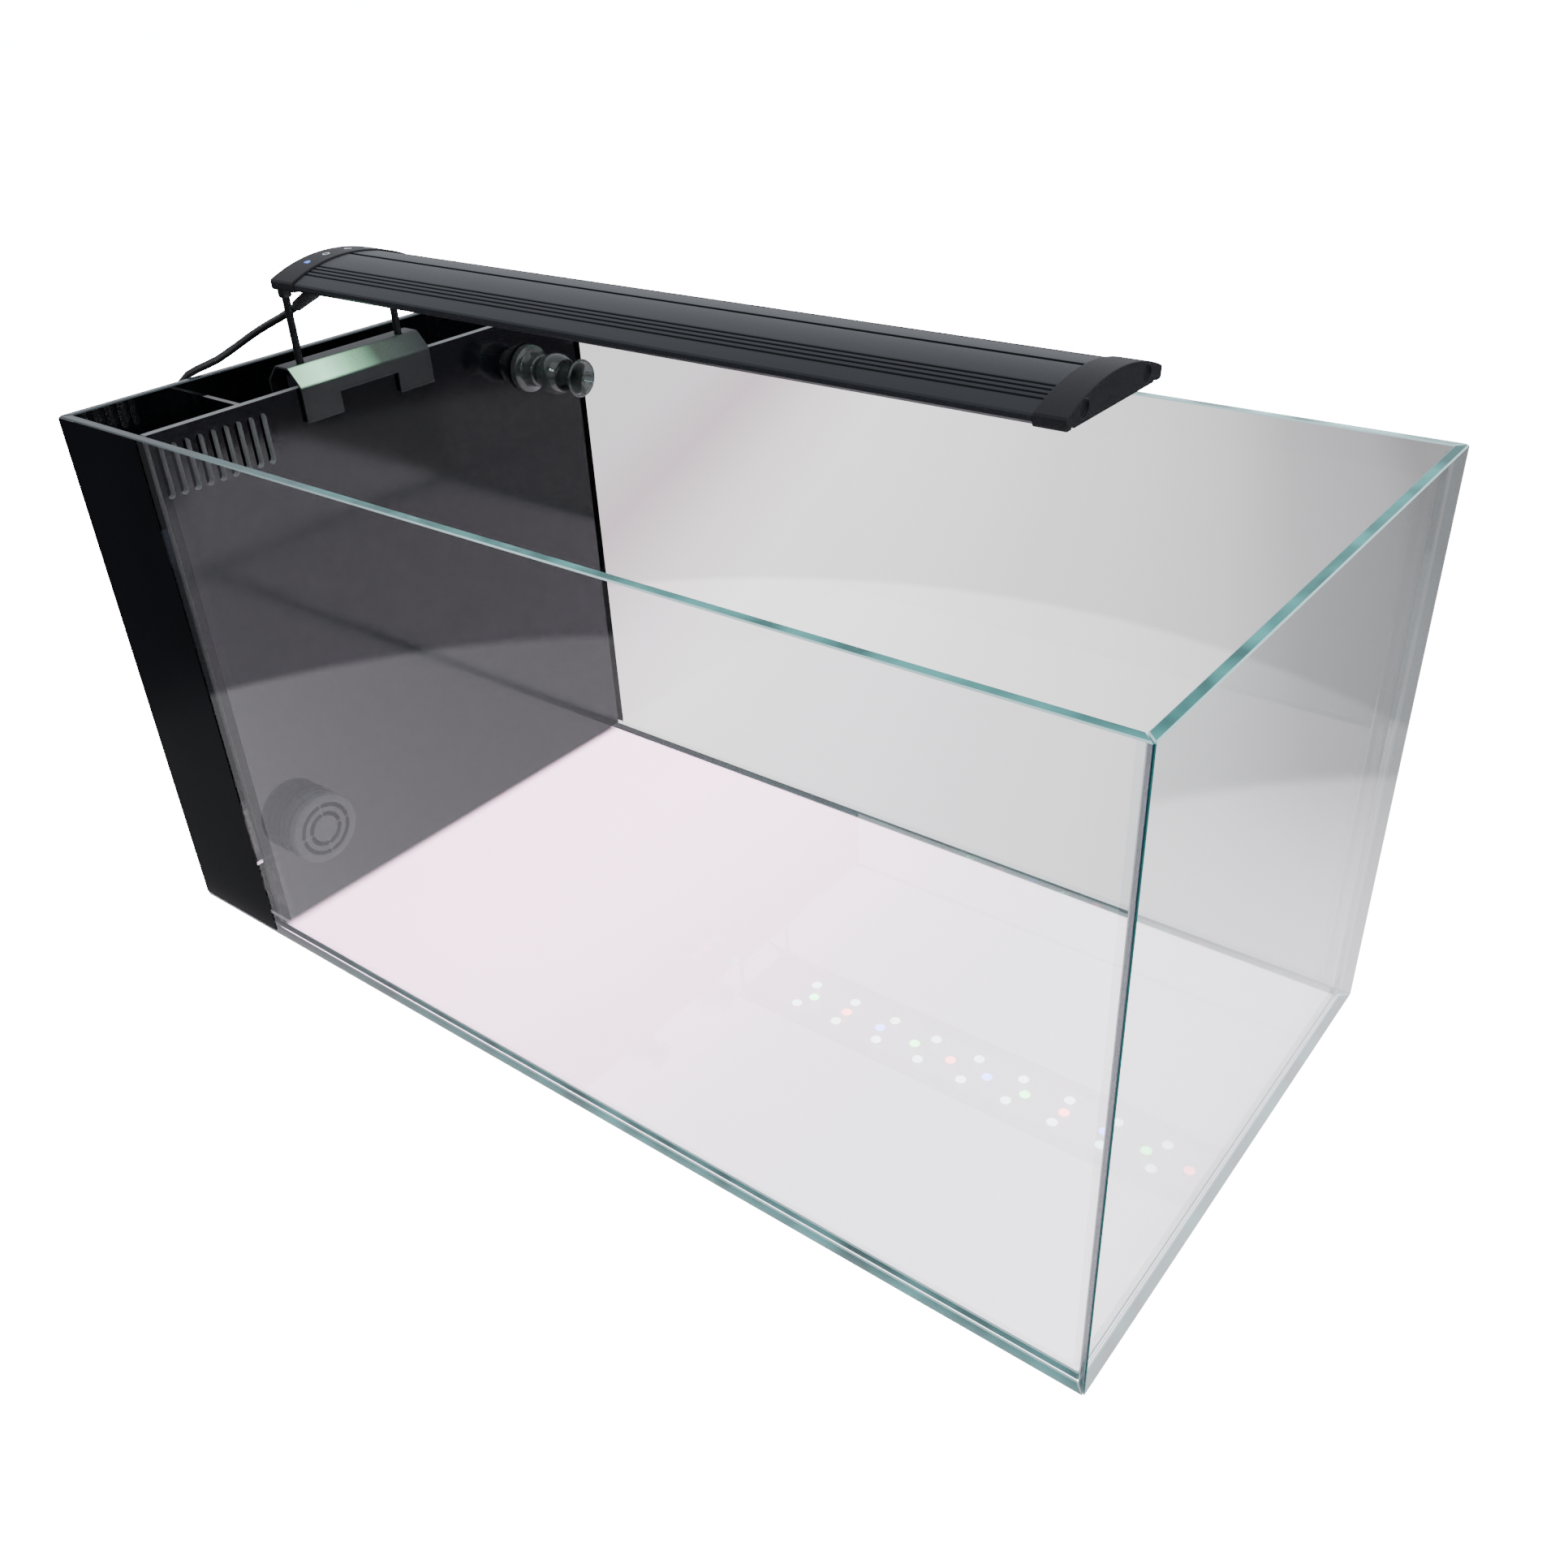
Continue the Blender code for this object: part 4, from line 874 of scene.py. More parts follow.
    @staticmethod
    def cut(obj: bpy.types.Object, tools: Sequence[bpy.types.Object]) -> bpy.types.Object:
        """Cut tools out of an object; the tools are removed.

        Args:
            obj: The object.
            tools: The cutters.

        Returns:
            The same object.
        """
        for tool in tools:
            modifier = obj.modifiers.new("cut", "BOOLEAN")
            modifier.operation = "DIFFERENCE"
            modifier.solver = "EXACT"
            modifier.object = tool
        Meshes.apply(obj)
        for tool in tools:
            bpy.data.objects.remove(tool, do_unlink=True)
        obj.data.set_sharp_from_angle(angle=math.radians(25))
        return obj

    @staticmethod
    def tube(name: str, path: Sequence[Vector], radius: float,
             material: bpy.types.Material, sides: int = 16) -> bpy.types.Object:
        """Round tube along a path, with flat ends.

        Args:
            name: The object's name.
            path: Its centreline.
            radius: Its radius.
            material: Its material.
            sides: Segments round.

        Returns:
            The object.
        """
        bm = bmesh.new()
        rings, normal = [], Vector((0, 0, 1))
        for i, point in enumerate(path):
            ahead = path[min(i + 1, len(path) - 1)] - path[max(i - 1, 0)]
            ahead.normalize()
            if i == 0:
                normal = ahead.orthogonal().normalized()
            normal = (normal - ahead * normal.dot(ahead)).normalized()
            side = ahead.cross(normal)
            rings.append([bm.verts.new(point + radius * (math.cos(math.tau * k / sides) * normal
                                                         + math.sin(math.tau * k / sides) * side))
                          for k in range(sides)])
        for low, high in zip(rings, rings[1:]):
            for k in range(sides):
                nxt = (k + 1) % sides
                bm.faces.new((low[k], low[nxt], high[nxt], high[k]))
        bm.faces.new(rings[0])
        bm.faces.new(rings[-1])
        return Meshes.place(name, bm, material, 50)


def smooth_points(points: Sequence[Point], spacing: float) -> list[Vector]:
    """Evenly spaced points on a Catmull-Rom curve.

    Args:
        points: Points that the curve passes through.
        spacing: Rough distance between the results.

    Returns:
        The points.
    """
    knots = [Vector(p) for p in points]
    knots = [2 * knots[0] - knots[1]] + knots + [2 * knots[-1] - knots[-2]]
    dense: list[Vector] = []
    for a, b, c, d in zip(knots, knots[1:], knots[2:], knots[3:]):
        for step in range(20):
            t = step / 20
            dense.append(0.5 * (2 * b + (c - a) * t + (2 * a - 5 * b + 4 * c - d) * t * t
                                + (3 * b - a - 3 * c + d) * t ** 3))
    dense.append(knots[-2])
    total = sum((b - a).length for a, b in zip(dense, dense[1:]))
    count = max(2, round(total / spacing))
    result, walked, target = [dense[0]], 0.0, total / count
    for a, b in zip(dense, dense[1:]):
        length = (b - a).length
        while walked + length >= target and len(result) < count:
            result.append(a.lerp(b, (target - walked) / length))
            target += total / count
        walked += length
    return result + [dense[-1]]


def path_length(path: Sequence[Vector]) -> float:
    """Length of a polyline.

    Args:
        path: Its points.

    Returns:
        Its length.
    """
    return sum((b - a).length for a, b in zip(path, path[1:]))


def ball_arc(radius: float, centre: float, first: float, last: float,
             steps: int = 16) -> list[Pair]:
    """Profile points on a ball.

    Args:
        radius: The ball's radius.
        centre: Height of its centre.
        first: First angle from the axis' positive end, in degrees.
        last: Last angle.
        steps: Segments.

    Returns:
        (radius, height) points.
    """
    angles = [math.radians(first + (last - first) * k / steps) for k in range(steps + 1)]
    return [(radius * math.sin(a), centre + radius * math.cos(a)) for a in angles]


class Studio:
    """Camera, lamps, world and floor.

    The floor and world have set tones for direct and for mirrored views: WHITE and WORLD are their
    strengths, MIRRORED, MIRRORED_INSIDE and MIRRORED_FAR are painted reflections, the floor tones
    that the panes mirror, SHEET_INSIDE_SHADE and SHEET_RIGHT_SHADE are painted shade, what shows
    through the bottom pane, and GROUND_PAINTED_SHADE is painted shade, what shows through panes
    beside the tank, as (share of the way, tone) stops.
    """

    WHITE = 18.0
    WORLD = 0.9
    # Painted reflection: floor tones that the panes mirror.
    MIRRORED = (0.74, 0.73, 0.78)
    MIRRORED_INSIDE = (2.3, 2.2, 2.4)
    MIRRORED_FAR = (0.15, 0.15, 0.17)
    # Painted shade: the floor under the tank seen through the bottom pane, dimmer than the backdrop
    # and darker towards the right.
    SHEET_INSIDE_SHADE = (12.4, 8.2, 10.8)
    SHEET_RIGHT_SHADE = (6.5, 6.3, 6.7)
    # Painted shade: tones of the ground seen through the panes beside the tank, stop by stop along
    # a slant across the floor.
    GROUND_PAINTED_SHADE: tuple[tuple[float, Colour], ...] = (
        (0.02, (0.52, 0.50, 0.52)), (0.13, (0.46, 0.38, 0.42)), (0.24, (0.66, 0.61, 0.64)),
        (0.32, (0.76, 0.73, 0.75)), (0.48, (0.66, 0.64, 0.67)), (0.58, (0.56, 0.55, 0.57)),
        (0.68, (0.50, 0.50, 0.51)), (0.77, (0.41, 0.41, 0.42)), (0.84, (0.29, 0.29, 0.30)),
        (0.93, (0.235, 0.235, 0.245)), (0.975, (0.17, 0.17, 0.175)))
    LAMPS = (
        SoftLight("key_lamp", (0.5, -0.7, 1.7), (0.1, 0.0, 0.15), 1.6, 7.0),
        SoftLight("fill_lamp", (1.3, 0.3, 1.0), (0.0, 0.0, 0.15), 1.4, 7.0),
    )

    def camera(self, fit: CameraFit) -> None:
        """Add the camera.

        Args:
            fit: Its place and lens.
        """
        data = bpy.data.cameras.new("camera")
        data.sensor_width = 36.0
        data.lens = fit.lens
        data.shift_x, data.shift_y = fit.shift
        data.clip_start = 0.01
        turn = Matrix.Identity(4)
        for angle, axis in ((fit.heading - 90, "Z"), (fit.tilt + 90, "X"), (fit.roll, "Z")):
            turn = turn @ Matrix.Rotation(math.radians(angle), 4, axis)
        camera = bpy.data.objects.new("camera", data)
        camera.matrix_world = Matrix.Translation(fit.place) @ turn
        bpy.context.scene.collection.objects.link(camera)
        bpy.context.scene.camera = camera

    def light(self) -> None:
        """Add the lamps and a white world."""
        for lamp in self.LAMPS:
            data = bpy.data.lights.new(lamp.name, "AREA")
            data.size = lamp.size
            data.energy = lamp.power
            data.color = lamp.colour
            obj = bpy.data.objects.new(lamp.name, data)
            away = Vector(lamp.place) - Vector(lamp.target)
            obj.matrix_world = (Matrix.Translation(lamp.place)
                                @ away.to_track_quat("Z", "Y").to_matrix().to_4x4())
            bpy.context.scene.collection.objects.link(obj)
        world = bpy.data.worlds.new("white")
        world.use_nodes = True
        tree = world.node_tree
        paths = tree.nodes.new("ShaderNodeLightPath")
        strength = tree.nodes.new("ShaderNodeMath")
        strength.operation = "MULTIPLY_ADD"
        tree.links.new(paths.outputs["Is Camera Ray"], strength.inputs[0])
        strength.inputs[1].default_value = self.WHITE - self.WORLD
        strength.inputs[2].default_value = self.WORLD
        shade = tree.nodes["Background"]
        shade.inputs["Color"].default_value = (0.93, 0.97, 1.03, 1)
        tree.links.new(strength.outputs[0], shade.inputs["Strength"])
        bpy.context.scene.world = world

    def floor(self) -> None:
        """Add a wide floor: a pale sheet under the object, and darker ground beyond it; their tones
        carry painted shade where the panes are looked through, and painted reflections where the
        panes mirror them.
        """
        graph = Graph("studio_floor")
        paths = graph.add("LightPath")
        place = graph.add("NewGeometry")
        apart = graph.add("VectorMath")
        apart.operation = "DISTANCE"
        graph.feed(apart.inputs[0], place.outputs["Position"])
        graph.feed(apart.inputs[1], (0.0, -0.08, 0.0))
        beyond = self._step(graph, apart.outputs["Value"], 0.572, 0.588)
        along = graph.add("VectorMath")
        along.operation = "DOT_PRODUCT"
        graph.feed(along.inputs[0], place.outputs["Position"])
        graph.feed(along.inputs[1], (1.0, 0.4118, 0.0))
        behind = graph.add("SeparateXYZ", Vector=place.outputs["Position"])
        outside = graph.math("MAXIMUM", self._step(graph, behind.outputs["Y"], 0.142, 0.150),
                             self._step(graph, behind.outputs["X"], 0.292, 0.300))
        for side, reach in (("Y", 0.150), ("X", 0.300)):
            back = graph.math("MULTIPLY", behind.outputs[side], -1.0)
            outside = graph.math("MAXIMUM", outside,
                                 self._step(graph, back, reach, reach + 0.004))
        # Painted shade: the sheet under the tank darkens towards the right.
        inner = graph.blend(self._step(graph, behind.outputs["X"], -0.15, 0.16),
                            self.SHEET_INSIDE_SHADE, self.SHEET_RIGHT_SHADE)
        ramp = graph.add("ValToRGB", Fac=graph.add(
            "MapRange", Value=along.outputs["Value"], From_Min=-0.45, From_Max=0.50).outputs[0])
        stops = ramp.color_ramp.elements
        for stop, (at, tone) in zip(stops, (self.GROUND_PAINTED_SHADE[0], self.GROUND_PAINTED_SHADE[-1])):
            stop.position, stop.color = at, (*tone, 1.0)
        for at, tone in self.GROUND_PAINTED_SHADE[1:-1]:
            stops.new(at).color = (*tone, 1.0)
        # Painted shade: the ground seen through the panes is brighter near the tank than beyond the
        # sheet.
        lift = graph.math("SUBTRACT", 1.32, graph.math("MULTIPLY", beyond, 0.32))
        ground = graph.add("VectorMath")
        ground.operation = "SCALE"
        graph.feed(ground.inputs[0], ramp.outputs[0])
        graph.feed(ground.inputs["Scale"], graph.math("MULTIPLY", lift, 3.0))
        # Painted shade: the floor under the filter chamber is near black.
        shade_under_chamber = graph.math("MULTIPLY", graph.math("SUBTRACT", 1.0, outside),
                          self._step(graph, graph.math("MULTIPLY", behind.outputs["X"], -1.0),
                                     0.226, 0.236))
        inner = graph.blend(shade_under_chamber, inner, (0.02, 0.02, 0.02))
        seen = graph.blend(outside, inner, ground.outputs[0])
        through = graph.math("GREATER_THAN", paths.outputs["Transparent Depth"], 0.5)
        tone = graph.blend(through, (self.WHITE,) * 3, seen)
        # Painted reflection: the floor tone that the panes mirror, middling in front of the tank,
        # bright under it, fading dark towards the back and far away.
        ahead = self._step(graph, behind.outputs["Y"], -0.160, -0.148)
        falling = self._step(graph, behind.outputs["Y"], 0.12, 0.50)
        mirrored = graph.blend(falling, self.MIRRORED_INSIDE, self.MIRRORED_FAR)
        mirrored = graph.blend(ahead, self.MIRRORED, mirrored)
        glossy = graph.blend(beyond, mirrored, self.MIRRORED_FAR)
        light = graph.blend(paths.outputs["Is Camera Ray"], glossy, tone)
        noise = graph.add("TexNoise", Scale=3.0)
        paper = graph.blend(noise.outputs["Fac"], (0.84, 0.84, 0.845), (0.86, 0.86, 0.86))
        diffuse = graph.add("BsdfDiffuse", Color=paper)
        glow = graph.add("Emission", Color=light, Strength=1.0)
        share = graph.math("MAXIMUM", paths.outputs["Is Camera Ray"],
                           paths.outputs["Is Glossy Ray"])
        material = graph.surface(graph.shader_mix(share, diffuse, glow))
        bm = bmesh.new()
        bmesh.ops.create_grid(bm, x_segments=8, y_segments=8, size=6.0)
        bmesh.ops.translate(bm, vec=(0, 0, -0.0004), verts=bm.verts)
        Meshes.place("studio_floor", bm, material, 0)

    @staticmethod
    def _step(graph: Graph, value: bpy.types.NodeSocket, low: float,
              high: float) -> bpy.types.NodeSocket:
        """Smooth step from 0 to 1.

        Args:
            graph: The graph.
            value: What is compared.
            low: Where it starts to rise.
            high: Where it reaches 1.

        Returns:
            The step.
        """
        node = graph.add("MapRange", Value=value)
        node.interpolation_type = "SMOOTHSTEP"
        node.inputs["From Min"].default_value = low
        node.inputs["From Max"].default_value = high
        return node.outputs["Result"]


@dataclass
class Aquarium:
    """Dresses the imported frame's nodes, and ties new pieces to it.

    Attributes:
        materials: The object's materials.
    """

    frame: dict
    materials: Materials

    # Painted light and shade: the edge tones differ by pane, near black on the left pane and bright
    # mint on the back one.
    PANES: ClassVar[dict[str, Pane]] = {
        "glass_front": Pane(Axis.Y, (0.970, 0.962, 0.968), (0.035, 0.250, 0.240)),
        "glass_back": Pane(Axis.Y, (0.950, 0.950, 0.950), (0.420, 0.720, 0.710), 0.95, 0.0, 0.88),
        "glass_left": Pane(Axis.X, (0.960, 0.970, 0.970), (0.030, 0.060, 0.060)),
        "glass_right": Pane(Axis.X, (0.955, 0.960, 0.960), (0.028, 0.260, 0.245)),
        "glass_bottom": Pane(Axis.Z, (0.975, 0.962, 0.970), (0.045, 0.190, 0.190), 0.0, 0.46,
                             0.72),
    }

    def __post_init__(self) -> None:
        """Read which finish each node has."""
        self.slots = {row["node"]: row["material_slot"]
                      for row in self.frame["record"]["subparts"]}

    def finish(self, piece: bpy.types.Object, body: Body, *nodes: str,
               slot: Optional[str] = None) -> bpy.types.Object:
        """Tie a piece to its body, and hide the nodes that it stands for.

        Args:
            piece: The piece.
            body: The body it rides on.
            *nodes: Nodes that it replaces.
            slot: Not used.

        Returns:
            The piece.
        """
        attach(piece, body.value)
        if nodes:
            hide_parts(*nodes)
        LOG.info("%s rides on %s", piece.name, body.value)
        return piece

    def paint(self) -> None:
        """Give every carried node its material."""
        for node, slot in self.slots.items():
            obj = self.frame["nodes"][node]
            if node in self.PANES:
                material = self.materials.pane(node, self.PANES[node])
            elif node.startswith("baffle"):
                material = self.materials.get("black_acrylic_flat")
            else:
                material = self.materials.get(slot)
            obj.data.materials.clear()
            obj.data.materials.append(material)


@dataclass
class CableBuilder:
    """The light's cable: strain relief, free run, coil, tie and plug.

    Attributes:
        tank: The aquarium.
        radius: The cable's radius.
        coil_centre: The coil's centre, as x and y.
        coil_radius: Radius of its middle lane.
        coil_lift: How high its lowest lane lies.
        lane_sweep: Degrees that each lane runs.
        shift_sweep: Degrees in which the cable moves to the next lane.
        plug_lead: Gap between the route's end and the cable's end at the plug.
    """

    tank: Aquarium
    radius: float = 0.0020
    coil_centre: Pair = (-0.340, 0.020)
    coil_radius: float = 0.022
    coil_lift: float = 0.0015
    lane_sweep: int = 300
    shift_sweep: int = 60
    plug_lead: float = 0.0035

    def __post_init__(self) -> None:
        """Keep the way to a material."""
        self.get = self.tank.materials.get

    def build(self) -> None:
        path = smooth_points(CABLE_ROUTE, self.radius * 3) + self._winding()
        cable = Meshes.tube("cable_run", path, self.radius * 0.985, self.get("cable_pvc"))
        self.tank.finish(cable, Body.TANK, "light_cable", "cable_coil")
        plug, pin = self._plug(path[-1])
        tie = self._tie()
        relief = self._relief()
        LOG.info("cable length %.3f m", path_length(path))

    def _winding(self) -> list[Vector]:
        """Lanes of the coil, each turn beside or above the last, and the lead to the plug.

        Returns:
            Centreline points.
        """
        d = 2 * self.radius
        low = self.coil_lift + self.radius
        rows = {"T": low + 2 * d, "M": low + d, "B": low}
        radii = {0: self.coil_radius + d, 1: self.coil_radius, 2: self.coil_radius - d}
        order = ("T0", "T1", "T2", "M2", "B2", "B1", "M1", "M0", "B0")
        lanes = [(radii[int(name[1])], rows[name[0]]) for name in order]
        points = []
        total = self.lane_sweep * len(lanes)
        step = 10
        for degrees in range(0, total + 1, step):
            lane = min(degrees // self.lane_sweep, len(lanes) - 1)
            inside = degrees - lane * self.lane_sweep
            share = max(0.0, (inside - (self.lane_sweep - self.shift_sweep)) / self.shift_sweep)
            share = share * share * (3 - 2 * share) if lane < len(lanes) - 1 else 0.0
            after = lanes[min(lane + 1, len(lanes) - 1)]
            radius = lanes[lane][0] + (after[0] - lanes[lane][0]) * share
            height = lanes[lane][1] + (after[1] - lanes[lane][1]) * share
            angle = math.radians(degrees)
            points.append(Vector((self.coil_centre[0] + radius * math.cos(angle),
                                  self.coil_centre[1] + radius * math.sin(angle), height)))
        end = points[-1]
        low_y = CABLE_ROUTE[-1][1] - self.plug_lead
        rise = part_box("plug_body")
        level = (rise[0].z + rise[1].z) / 2
        for k in range(1, 6):
            share = k / 5
            lift = max(0.0, (share - 0.5) * 2)
            points.append(Vector((end.x, end.y + (low_y - end.y) * share,
                                  end.z + (level - end.z) * lift * lift * (3 - 2 * lift))))
        return points

    def _relief(self) -> bpy.types.Object:
        """Ribbed tapered relief that slants out from under the light.

        Returns:
            The relief.
        """
        start, end = Vector(RELIEF_START), Vector(CABLE_ROUTE[0])
        length = (end - start).length
        profile: list[Pair] = [(self.radius * 1.02, length - 0.0004)]
        for k in range(9):
            at = length * (0.98 - 0.095 * k)
            thick = 0.0028 + 0.0007 * k / 8
            profile += [(thick - 0.0004, at), (thick, at - 0.0006), (thick, at - 0.0014),
                        (thick - 0.0005, at - 0.0019)]
        profile += [(0.0034, 0.0016), (0.0034, -0.0002), (self.radius * 1.02, -0.0002)]
        piece = Meshes.turned("cable_relief", profile, RELIEF_START, end - start,
                              self.get("black_rubber"), 32)
        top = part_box("strain_relief")[1].z
        bm = bmesh.new()
        bmesh.ops.create_cube(bm, size=0.08)
        bmesh.ops.translate(bm, vec=(start.x, start.y, top + 0.04), verts=bm.verts)
        Meshes.cut(piece, [Meshes.place("relief_trim", bm, self.get("black_rubber"), 0)])
        return self.tank.finish(piece, Body.LIGHT, "strain_relief")

    def _tie(self) -> bpy.types.Object:
        """Closed hook-and-loop tie round one side of the coil.

        Returns:
            The tie.
        """
        low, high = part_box("coil_tie")
        thick = 0.0009
        y0, y1, z0, z1 = low.y, high.y, low.z, high.z
        corner = 0.0024
        outline: list[Pair] = []
        for cy, cz, start in ((y1 - corner, z0 + corner, -90), (y1 - corner, z1 - corner, 0),
                              (y0 + corner, z1 - corner, 90), (y0 + corner, z0 + corner, 180)):
            for k in range(7):
                a = math.radians(start + 15 * k)
                outline.append((cy + corner * math.cos(a), cz + corner * math.sin(a)))
        bm = bmesh.new()
        rows = []
        mid = ((y0 + y1) / 2, (z0 + z1) / 2)
        for x, shrink in ((low.x, 0.0), (high.x, 0.0), (high.x, thick), (low.x, thick)):
            rows.append([bm.verts.new((x, mid[0] + (y - mid[0]) * (1 - shrink / (y1 - mid[0])),
                                       mid[1] + (z - mid[1]) * (1 - shrink / (z1 - mid[1]))))
                         for y, z in outline])
        for first, second in zip(rows, rows[1:] + rows[:1]):
            for k in range(len(outline)):
                nxt = (k + 1) % len(outline)
                bm.faces.new((first[k], second[k], second[nxt], first[nxt]))
        piece = Meshes.place("coil_band", bm, self.get("black_rubber"), 40)
        return self.tank.finish(piece, Body.TANK, "coil_tie")

    def _plug(self, end: Vector) -> tuple[bpy.types.Object, bpy.types.Object]:
        """Moulded round plug with grip rings, and its barrel.

        Args:
            end: Where the cable ends.

        Returns:
            The plug and the barrel.
        """
        low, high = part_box("plug_body")
        radius = (high.x - low.x) / 2
        centre = ((low.x + high.x) / 2, high.y, (low.z + high.z) / 2)
        length = high.y - low.y
        profile: list[Pair] = [(0.0, length), (radius - 0.0009, length),
                               (radius - 0.0003, length - 0.0003), (radius, length - 0.0010)]
        for k in range(5):
            at = 0.0265 - 0.0024 * k
            profile += [(radius, at), (radius - 0.0005, at - 0.0003),
                        (radius - 0.0005, at - 0.0010), (radius, at - 0.0013)]
        profile += [(radius, 0.0125), (radius - 0.0006, 0.0118), (0.0034, 0.0110)]
        for k in range(4):
            at = 0.0098 - 0.0024 * k
            thick = 0.0032 - 0.00012 * k
            profile += [(thick, at), (thick, at - 0.0010), (thick - 0.0006, at - 0.0013),
                        (thick - 0.0006, at - 0.0019)]
        profile += [(0.0026, 0.0003), (0.0, 0.0)]
        plug = Meshes.turned("plug_moulding", profile, centre, Vector((0, -1, 0)),
                             self.get("cable_pvc"), 48)
        self.tank.finish(plug, Body.TANK, "plug_body")
        low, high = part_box("plug_barrel")
        length, outer = high.y - low.y, (high.x - low.x) / 2
        barrel = Meshes.turned(
            "plug_sleeve",
            [(outer - 0.0003, length), (outer, length - 0.0004), (outer, 0.0), (0.0011, 0.0),
             (0.0011, length - 0.0006), (0.00125, length - 0.0002), (0.0016, length)],
            centre[:1] + (high.y, centre[2]), Vector((0, -1, 0)), self.get("bright_steel"), 40)
        return plug, self.tank.finish(barrel, Body.TANK, "plug_barrel")


@dataclass
class LightBuilder:
    """The light: extruded housing, moulded caps, touch marks and chips.

    Attributes:
        tank: The aquarium.
        half: Half of the light's width.
        edge: Height of its long edges.
        crown: Height of its middle.
        lip: How far the housing lies inside the caps.
        pitch_white: Distance between white chips along the light.
        pitch_tones: Distance between coloured chips.
        tones: Light of the coloured chips: green, red and blue.
    """

    tank: Aquarium
    half: float = 0.0375
    edge: float = 0.0053
    crown: float = 0.0130
    lip: float = 0.0007
    pitch_white: float = 0.0430
    pitch_tones: float = 0.0361
    tones: tuple[Colour, ...] = ((0.10, 1.0, 0.25), (1.0, 0.10, 0.12), (0.12, 0.20, 1.0))

    def __post_init__(self) -> None:
        """Read the light's place."""
        self.get = self.tank.materials.get
        low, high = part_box("light_cap_left")
        self.y = (low.y + high.y) / 2
        self.z = high.z - self.crown

    def build(self) -> None:
        """Make every piece of the light."""
        self._housing()
        self._caps()
        self._marks()
        self._chips()

    def _crown(self, y: float, half: float, edge: float, top: float) -> float:
        """Height of the arch across the light.

        Args:
            y: Distance from the middle.
            half: Half width of the arch.
            edge: Its height at the edges.
            top: Its height in the middle.

        Returns:
            The height at y.
        """
        sagitta = top - edge
        radius = (half * half + sagitta * sagitta) / (2 * sagitta)
        return top - radius + math.sqrt(radius * radius - y * y)

    def _arch(self, half: float, edge: float, top: float,
              grooves: Sequence[Point] = ()) -> list[Pair]:
        """Arch from +Y to -Y with a rounded lip at each groove.

        Args:
            half: Half width.
            edge: Height at the edges.
            top: Height in the middle.
            grooves: (middle, width, depth) of each groove.

        Returns:
            (y, z) points.
        """
        points = []
        for k in range(73):
            y = half - 2 * half * k / 72
            if not any(abs(y - middle) < width / 2 + 0.0003 for middle, width, _ in grooves):
                points.append((y, self._crown(y, half, edge, top)))
        for middle, width, depth in grooves:
            for side in (1, -1):
                y = middle + side * width / 2
                z = self._crown(y, half, edge, top)
                drop = [(y + side * 0.00015, z), (y, z - 0.00015), (y - side * 0.00002, z - depth)]
                points += drop
        return sorted(points, key=lambda point: -point[0])

    def _slice(self, name: str, outline: Sequence[Pair], low: float, high: float,
               slot: str) -> bpy.types.Object:
        """Push a cross-section along the light.

        Args:
            name: The piece's name.
            outline: Its section, from the light's middle and underside.
            low: Where it starts.
            high: Where it ends.
            slot: Its material's name.

        Returns:
            The piece.
        """
        placed = [(self.y + y, self.z + z) for y, z in outline]
        return Meshes.extruded(name, placed, Axis.X, low, high, self.get(slot), 22)

    def _housing(self) -> None:
        """Extruded housing with one wide groove and four fine ones on each side."""
        low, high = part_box("light_housing")
        lip, half = self.lip, self.half - self.lip
        grooves = [(0.0010, 0.0024, 0.0016)] + [(side * (0.0285 - 0.0028 * i), 0.0012, 0.0007)
                                                for side in (-1, 1) for i in range(4)]
        depth = lip + 0.0040
        base = [(-half, lip + 0.0012), (-half + 0.0009, lip), (-0.025, lip), (-0.025, depth),
                (-0.019, depth), (-0.019, depth + 0.0030)]
        sides = [(half, self.edge - lip - 0.0008)]
        arch = self._arch(half - 0.0006, self.edge - lip, self.crown - lip, grooves)
        outline = base + [(-y, z) for y, z in reversed(base)] + sides + arch
        outline.append((-half, self.edge - lip - 0.0008))
        piece = self._slice("light_profile", outline, low.x, high.x, "black_aluminium")
        self.tank.finish(piece, Body.LIGHT, "light_housing")

    def _caps(self) -> None:
        """Moulded end caps, the two rods and their sockets."""
        for name, notch in (("light_cap_left", False), ("light_cap_right", True)):
            low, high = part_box(name)
            half = self.half
            base = [(-half, 0.0014), (-half + 0.0004, 0.0004), (-half + 0.0012, 0)]
            if notch:
                base += [(-half + 0.0042, 0), (-half + 0.0042, 0.0010), (-half + 0.0062, 0.0010),
                         (-half + 0.0062, 0)]
            arch = self._arch(half - 0.0006, self.edge, self.crown)
            outline = base + [(-y, z) for y, z in reversed(base)] + [(half, self.edge - 0.0010)]
            outline += arch + [(-half, self.edge - 0.0010)]
            piece = self._slice(name + "_moulding", outline, low.x, high.x, "black_plastic")
            if notch:
                recess = [(0.0, 0.0), (0.0034, 0.0), (0.0034, 0.0020), (0.0, 0.0020)]
                Meshes.cut(piece, [Meshes.turned(
                    "recess", recess,
                    (high.x - 0.0010, self.y + side * 0.0245, self.z + 0.0052),
                    Vector((1, 0, 0)), self.get("black_plastic"), 32) for side in (-1, 1)])
            Meshes.soften(piece, 0.0007, 3, 50)
            self.tank.finish(piece, Body.LIGHT, name)
        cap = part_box("light_cap_left")
        for node in ("light_rod_front", "light_rod_rear"):
            low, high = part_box(node)
            x, y = (low.x + high.x) / 2, (low.y + high.y) / 2
            radius = (high.x - low.x) / 2
            rod = Meshes.turned(node + "_bar", [
                (0.0, 0.0), (radius - 0.0004, 0.0), (radius, 0.0004), (radius, high.z - low.z),
                (0.0, high.z - low.z)], (x, y, low.z), Vector((0, 0, 1)),
                self.get("black_steel"), 32)
